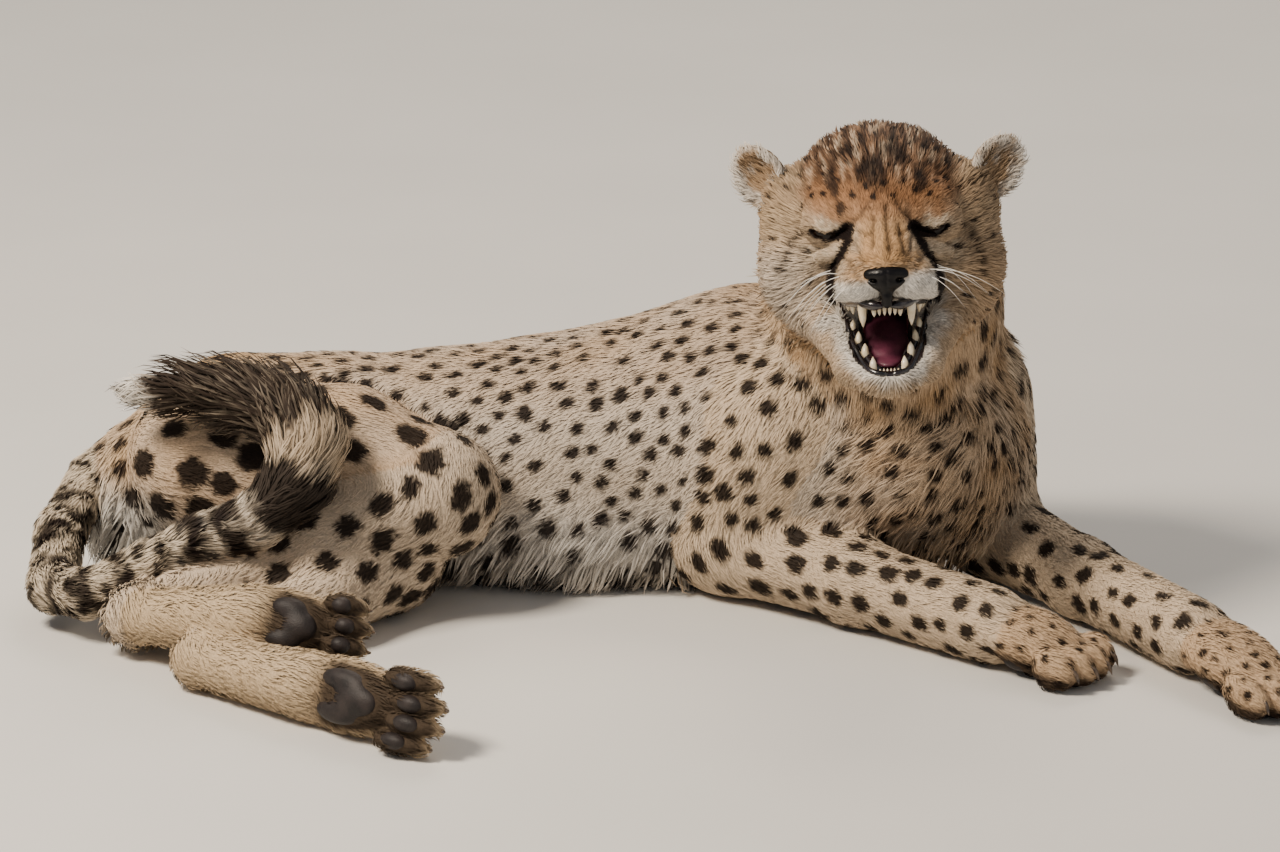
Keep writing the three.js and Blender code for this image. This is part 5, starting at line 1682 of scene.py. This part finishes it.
def swept(
    path: Sequence[Iterable[float]], radii: Sequence[tuple[float, float]], across: Iterable[float],
    sides: int = 8, steps: int = 3,
) -> Mesh:
    """A closed form swept along a bent path, with oval sections and a point at its end.

    Args:
        path: Three or more places, the last one the tip.
        radii: Half width and half depth at each place but the last.
        across: Which way the widths lie.
        sides: Corners of each section.
        steps: Sections for each stretch of the path.

    Returns:
        Vertices, and triangles that face out.
    """
    points, sizes = np.array([tuple(p) for p in path], float), np.array([*radii, (0.0, 0.0)])
    last = len(points) - 1
    t = np.linspace(0, last, steps * last + 1)
    line, size = (np.stack([np.interp(t, range(last + 1), column) for column in table.T], 1)
                  for table in (points, sizes))
    for _ in range(2):
        line[1:-1] = 0.25 * line[:-2] + 0.5 * line[1:-1] + 0.25 * line[2:]
    size = np.maximum(size, 0.55 * sizes[-2] * np.sqrt(np.clip(last - t, 0, 1))[:, None])
    ahead = unit(np.gradient(line, axis=0))
    wide = np.tile(np.array(tuple(across), float), (len(line), 1))
    wide = unit(wide - (wide * ahead).sum(1, keepdims=True) * ahead)
    deep, angles = np.cross(ahead, wide), 2 * math.pi * np.arange(sides) / sides
    cos, sin = np.cos(angles), np.sin(angles)
    rings = [at + np.outer(cos, out) * a + np.outer(sin, over) * b
             for at, out, over, (a, b) in zip(line, wide, deep, size)]
    return capped(rings[:-1], line[-1], line[0])


def capped(rings: Sequence[Array], tip: Array, foot: Array) -> Mesh:
    """Rings of places joined by triangles, with a point beyond the last and one before the first.

    Args:
        rings: Rings of the same number of places.
        tip: The point beyond the last.
        foot: The point before the first.

    Returns:
        Vertices, and triangles that face out.
    """
    sides, end = len(rings[0]), len(rings) * len(rings[0])
    faces = []
    for side in range(sides):
        other = (side + 1) % sides
        for a, b in ((row + side, row + other) for row in range(0, end - sides, sides)):
            faces += [(a, b, b + sides), (a, b + sides, a + sides)]
        faces += [(end - sides + side, end - sides + other, end), (other, side, end + 1)]
    return np.concatenate([*rings, [tip], [foot]]), np.array(faces)


def ball(centre: Point, radius: float, rows: int = 20) -> Mesh:
    """A ball as a mesh of triangles, its poles up and down.

    Args:
        centre: Its middle.
        radius: Its radius.
        rows: Bands of triangles from pole to pole.

    Returns:
        Vertices, and triangles that face out.
    """
    turn = math.pi * np.arange(2 * rows) / rows
    circle = np.stack((np.cos(turn), np.sin(turn), 0 * turn), 1)
    rings = [radius * (circle * math.sin(a) + (0, 0, math.cos(a))) + centre
             for a in np.linspace(math.pi, 0, rows + 1)]
    return capped(rings[1:-1], rings[-1][0], rings[0][0])


# ---------------------------------------------------------------- small pieces of the head
# The teeth of one side: tip, height over the root, half width, half depth.
Tooth = tuple[Point, float, float, float]
UPPER_TEETH: tuple[Tooth, ...] = (
    ((17.5, -80, -65.5), 24, 3.4, 4.2), ((9.4, -87, -57.5), 9, 2.0, 1.9), ((5.6, -89, -56.5), 8, 1.6, 1.7),
    ((1.9, -90, -56.5), 8, 1.5, 1.7), ((24, -61, -57), 14, 2.5, 5.0), ((27, -47, -55.5), 14, 2.6, 6.0),
)
LOWER_TEETH: tuple[Tooth, ...] = (
    ((11.4, -82, -86), 16, 3.3, 3.8), ((6.6, -85, -94.5), 8, 1.6, 1.5), ((3.9, -86, -94.5), 8, 1.4, 1.5),
    ((1.3, -86, -94.5), 8, 1.3, 1.5), ((16.5, -69, -77), 13, 3.2, 5.0), ((20.5, -57, -69), 12, 2.9, 5.5),
    ((24, -47, -61), 10, 2.5, 4.5),
)
# The rims of the mouth on one side, from its corner to the middle, with half width and depth below the skin.
LIPS: tuple[tuple[Line, float, float], ...] = (
    (((34, -51), (29.5, -60), (27, -70), (24, -80), (19, -90), (14.5, -96), (7, -98.5), (0, -99)), 2.4, 0.8),
    (((34, -50), (29, -49), (19, -47.5), (10, -48), (5, -49.5), (0, -50)), 1.6, 1.2),
)
# The gums of one side that the teeth stand in, with half width.
GUMS: tuple[tuple[tuple[Point, ...], float], ...] = (
    (((27, -52, -48), (23, -68, -47.5), (18, -84, -46.3), (9, -92, -49), (0, -94, -49.5)), 3.9),
    (((26, -44, -66), (21, -58, -77), (16, -72, -88), (9, -83, -96), (0, -86, -98)), 3.4),
)


@dataclass
class Face:
    """Eyes, nose leather, tongue, teeth, whiskers, lips and gums, in the head's frame.

    Attributes:
        clay: The head they lie on.
        seed: Picks how the whiskers grow.
    """

    clay: Clay
    seed: int = 9

    def eye(self, side: int) -> Mesh:
        """An eyeball, all but covered by its lids."""
        return ball((side * EYE[0], EYE[1], EYE[2]), EYE_RADIUS)

    def nose(self) -> Mesh:
        """The nose leather with its nostrils and the cleft below them."""
        clay = Clay((-30, -122, -58), (30, -70, -8), 0.9)
        clay.add(NOSE_FORMS, 3)
        clay.add(NOSTRILS, 1.2, -1)
        return clay.mesh()

    def tongue(self) -> Mesh:
        """The tongue with the furrow along its middle."""
        clay = Clay((-30, -95, -110), (30, 30, -40), 1.2)
        clay.add(TONGUE_FORMS, 5)
        clay.add([Limb((0, -82, -86), (0, -20, -62), 1.4, 1.6)], 2.5, -1)
        return clay.mesh(0)

    def teeth(self, rows: Sequence[Tooth], up: int) -> Mesh:
        """A jaw's teeth on both sides.

        Args:
            rows: The teeth of one side.
            up: 1 for the lower jaw, whose teeth point up, and -1 for the upper one.

        Returns:
            Their mesh.
        """
        parts, steps = [], ((1.02, 0.05, 1), (1.02, 0.1, 0.6), (1, 0.06, 0.25), (1, 0, 0))
        for side, ((x, y, z), tall, wide, deep) in ((side, row) for side in SIDES for row in rows):
            path = [(side * x * out, y - lean * tall, z - up * tall * drop) for out, lean, drop in steps]
            parts.append(swept(path, [(wide, deep), (wide, deep), (wide * 0.7, deep * 0.7)], (1, 0, 0), 10))
        return joined(parts)

    def whiskers(self) -> Mesh:
        """The long hairs of the upper lip: most are short, and they droop."""
        rng, parts = np.random.default_rng(self.seed), []
        for side, number, low, high in ((-1, 11, 30, 46), (1, 7, 22, 64)):
            for index in range(number):
                row, place = divmod(index, 4)
                root = np.array((side * (27 + 3.4 * place), -86 + 7.5 * place, -24 - 4.5 * row))
                root = root + rng.normal(0, 0.9, 3)
                way = unit(np.array((side, -0.3 + 0.2 * place, 0.05 - 0.3 * row)) + rng.normal(0, 0.1, 3))
                length = high - (high - low) * (index / number) ** 0.6 + rng.uniform(-4, 4)
                sag = np.array((0, 0.1, -1.0)) * length * rng.uniform(0.45, 0.75)
                path = [root + way * length * s + sag * s * s for s in (0, 0.33, 0.66, 1)]
                parts.append(swept(path, [(0.34, 0.34), (0.27, 0.27), (0.15, 0.15)], (0, 0, 1), 5, 4))
        return joined(parts)

    def mouth(self) -> Mesh:
        """The black rims of the mouth, laid on the skin, and the gums."""
        parts = []
        for side in SIDES:
            for line, radius, sink in LIPS:
                path = self.clay.traced([(side * x, up) for x, up in line], sink, 4)
                parts.append(swept(path, [(radius, radius)] * (len(path) - 1), (0, 1, 0), 8, 2))
            for places, radius in GUMS:
                path = [(side * x, y, up) for x, y, up in places]
                parts.append(swept(path, [(radius, radius)] * (len(path) - 1), (0, 0, 1)))
        return joined(parts)


# ---------------------------------------------------------------- the model
FLESH = ("abdomen", "chest", "ear_left", "ear_right", "forearm_left", "forearm_right", "forepaw_left",
         "forepaw_right", "head", "hind_foot_left", "hind_foot_right", "hips", "lower_jaw", "neck",
         "shank_left", "shank_right", "tail_1", "tail_2", "tail_3", "tail_4", "thigh_left",
         "thigh_right", "upper_arm_left", "upper_arm_right")
LOWEST = 0.3  # how far every small piece stays above the floor


@dataclass(frozen=True)
class Room:
    """A pale floor, soft lights and the camera.

    Attributes:
        target: What the camera looks at, in the source frame.
        distance: How far off it stands, in metres.
        elevation: How far it looks down, in degrees.
        lens: Its focal length, for a sensor 36 mm wide.
        lights: Name, power, size and place from the target, in watts and metres.
    """

    target: Point = (0, 0, 136)
    distance: float = 5
    elevation: float = 17
    lens: float = 187.5
    lights: tuple[tuple[str, float, float, Point], ...] = (
        ("key", 150, 0.8, (-1.7, -1.1, 2.4)),
        ("fill", 9, 2.4, (2.4, -1.8, 1.2)),
        ("back", 45, 1.6, (0.4, 2.2, 2.4)),
    )

    def build(self, offset: Array) -> None:
        """Sets it all up round the animal, whose source frame lies at the offset.

        Args:
            offset: From the source frame to the row frame, in millimetres.
        """
        bpy.ops.mesh.primitive_plane_add(size=14)
        floor = bpy.context.object
        floor.name = "floor"
        floor.data.materials.append(PALE_FLOOR.material())
        target, lift = Vector((offset + np.array(self.target)) / 1000), math.radians(self.elevation)
        for name, energy, size, place in self.lights:
            data = bpy.data.lights.new(name, "AREA")
            data.energy, data.size, data.color = energy, size, linear("#fff0dd")
            self.aim(bpy.data.objects.new(name, data), target, Vector(place))
        world = bpy.data.worlds.new("room")
        world.use_nodes = True
        sky = world.node_tree.nodes["Background"].inputs
        sky["Color"].default_value, sky["Strength"].default_value = (*linear("#dfe3ea"), 1), 0.36
        bpy.context.scene.world = world
        data = bpy.data.cameras.new("camera")
        data.lens, data.sensor_width, data.clip_end = self.lens, 36, 100
        camera = bpy.data.objects.new("camera", data)
        self.aim(camera, target, self.distance * Vector((0, -math.cos(lift), math.sin(lift))))
        bpy.context.scene.camera = camera

    def aim(self, thing: bpy.types.Object, target: Vector, place: Vector) -> None:
        """Places a thing off the target and turns it to face it.

        Args:
            thing: A lamp or the camera.
            target: What it faces.
            place: Where it stands, from the target.
        """
        thing.location, thing.rotation_euler = target + place, (-place).to_track_quat("-Z", "Y").to_euler()
        bpy.context.scene.collection.objects.link(thing)


class Model:
    """The animal in Blender: skin, coat, face and feet."""

    def __init__(self) -> None:
        """Finds where the source frame lies in the row frame."""
        low, high = (np.array(corner, float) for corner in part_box("eye_right"))
        self.offset = (low + high) / 2 * 1000 - to_source(np.array((-EYE[0], EYE[1], EYE[2]), float))
        self.skin, self.markings = Skin(), Markings()
        log.info("offset: %s", np.round(self.offset, 3))

    def enter(self, made: bpy.types.Object, slot: str, *nodes: str) -> None:
        """Args:
            made: The piece.
            slot: The row's material slot it stands for; not used.
            nodes: The solids it replaces.
        """
        if nodes:
            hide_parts(*nodes)
        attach(made, "root")
        log.info("%s: %d faces", made.name, len(made.data.polygons))

    def place(self, name: str, shape: Mesh, finish: Finish, slot: str, *nodes: str) -> None:
        """Turns a small mesh into a piece of the model.

        Args:
            name: The object's name.
            shape: Vertices in the source frame, and faces.
            finish: What it is made of.
            slot: The row's material slot it stands for.
            nodes: The solids it replaces.
        """
        vertices, faces = shape
        made = mesh_object(name, (np.maximum(vertices, (-np.inf, -np.inf, LOWEST)), faces), self.offset)
        made.data.materials.append(finish.material())
        self.enter(made, slot, *nodes)

    def flesh(self) -> Site:
        """The skin with its markings, in place of all the solids of flesh."""
        skin = self.skin
        skin.build()
        site = survey(skin.vertices, skin.normals, skin.kinds)
        self.markings.scatter(skin.vertices, site)
        colours = self.markings.colours(skin.vertices, skin.normals, site)
        made = mesh_object("skin", (skin.vertices, skin.quads), self.offset, colours)
        for finish in (UNDERFUR, LIP_SKIN, PALATE):
            made.data.materials.append(finish.material())
        local, head = to_head(skin.vertices[skin.quads].mean(1)), skin.kinds[skin.quads[:, 0]] == 1
        mouth, up = nearest(MOUTH_HOLLOWS, local), local[:, 2]
        lips = head & (mouth < 4.0) & (up < -46)
        deep = head & (mouth < 0.6) & (local[:, 1] > -76) & (up < -44)
        made.data.polygons.foreach_set("material_index", np.where(deep, 2, lips).astype(np.int32))
        self.enter(made, "coat", *FLESH)
        return site

    def coat(self, site: Site) -> None:
        """All the hair."""
        coat = Coat(self.skin, site, self.markings, self.offset)
        for piece in (piece for growth in GROWTHS for piece in coat.grow(growth)):
            piece.data.materials.append(GUARD_HAIR.material())
            self.enter(piece, "coat")

    def face(self) -> None:
        """The small pieces of the head."""
        face = Face(self.skin.face)
        for name, (vertices, faces), finish, slot, *nodes in (
            ("eye_right_ball", face.eye(-1), SHADED_EYE_GLASS, "eye", "eye_right"),
            ("eye_left_ball", face.eye(1), SHADED_EYE_GLASS, "eye", "eye_left"),
            ("nose_pad", face.nose(), NOSE_LEATHER, "nose_leather", "nose"),
            ("tongue_body", face.tongue(), TONGUE, "tongue", "tongue"),
            ("upper_teeth", face.teeth(UPPER_TEETH, -1), ENAMEL, "enamel"),
            ("lower_teeth", face.teeth(LOWER_TEETH, 1), ENAMEL, "enamel"),
            ("whisker_hairs", face.whiskers(), WHISKER_HAIR, "whisker"),
            ("lips_and_gums", face.mouth(), LIP_SKIN, "nose_leather"),
        ):
            self.place(name, (to_source(vertices), faces), finish, slot, *nodes)

    def feet(self) -> None:
        """Claws and pads of the four paws."""
        for foot in FEET:
            self.place(foot.name + "_claws", foot.claws(), CLAW_HORN, "horn")
            self.place(foot.name + "_pads", foot.cushions(), PAD_LEATHER, "pad_leather")


def main() -> None:
    """Builds the whole scene."""
    logging.basicConfig(level=logging.INFO, format="%(name)s %(message)s")
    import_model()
    model = Model()
    site = model.flesh()
    model.coat(site)
    model.face()
    model.feet()
    Room().build(model.offset)


if __name__ == "__main__":
    main()
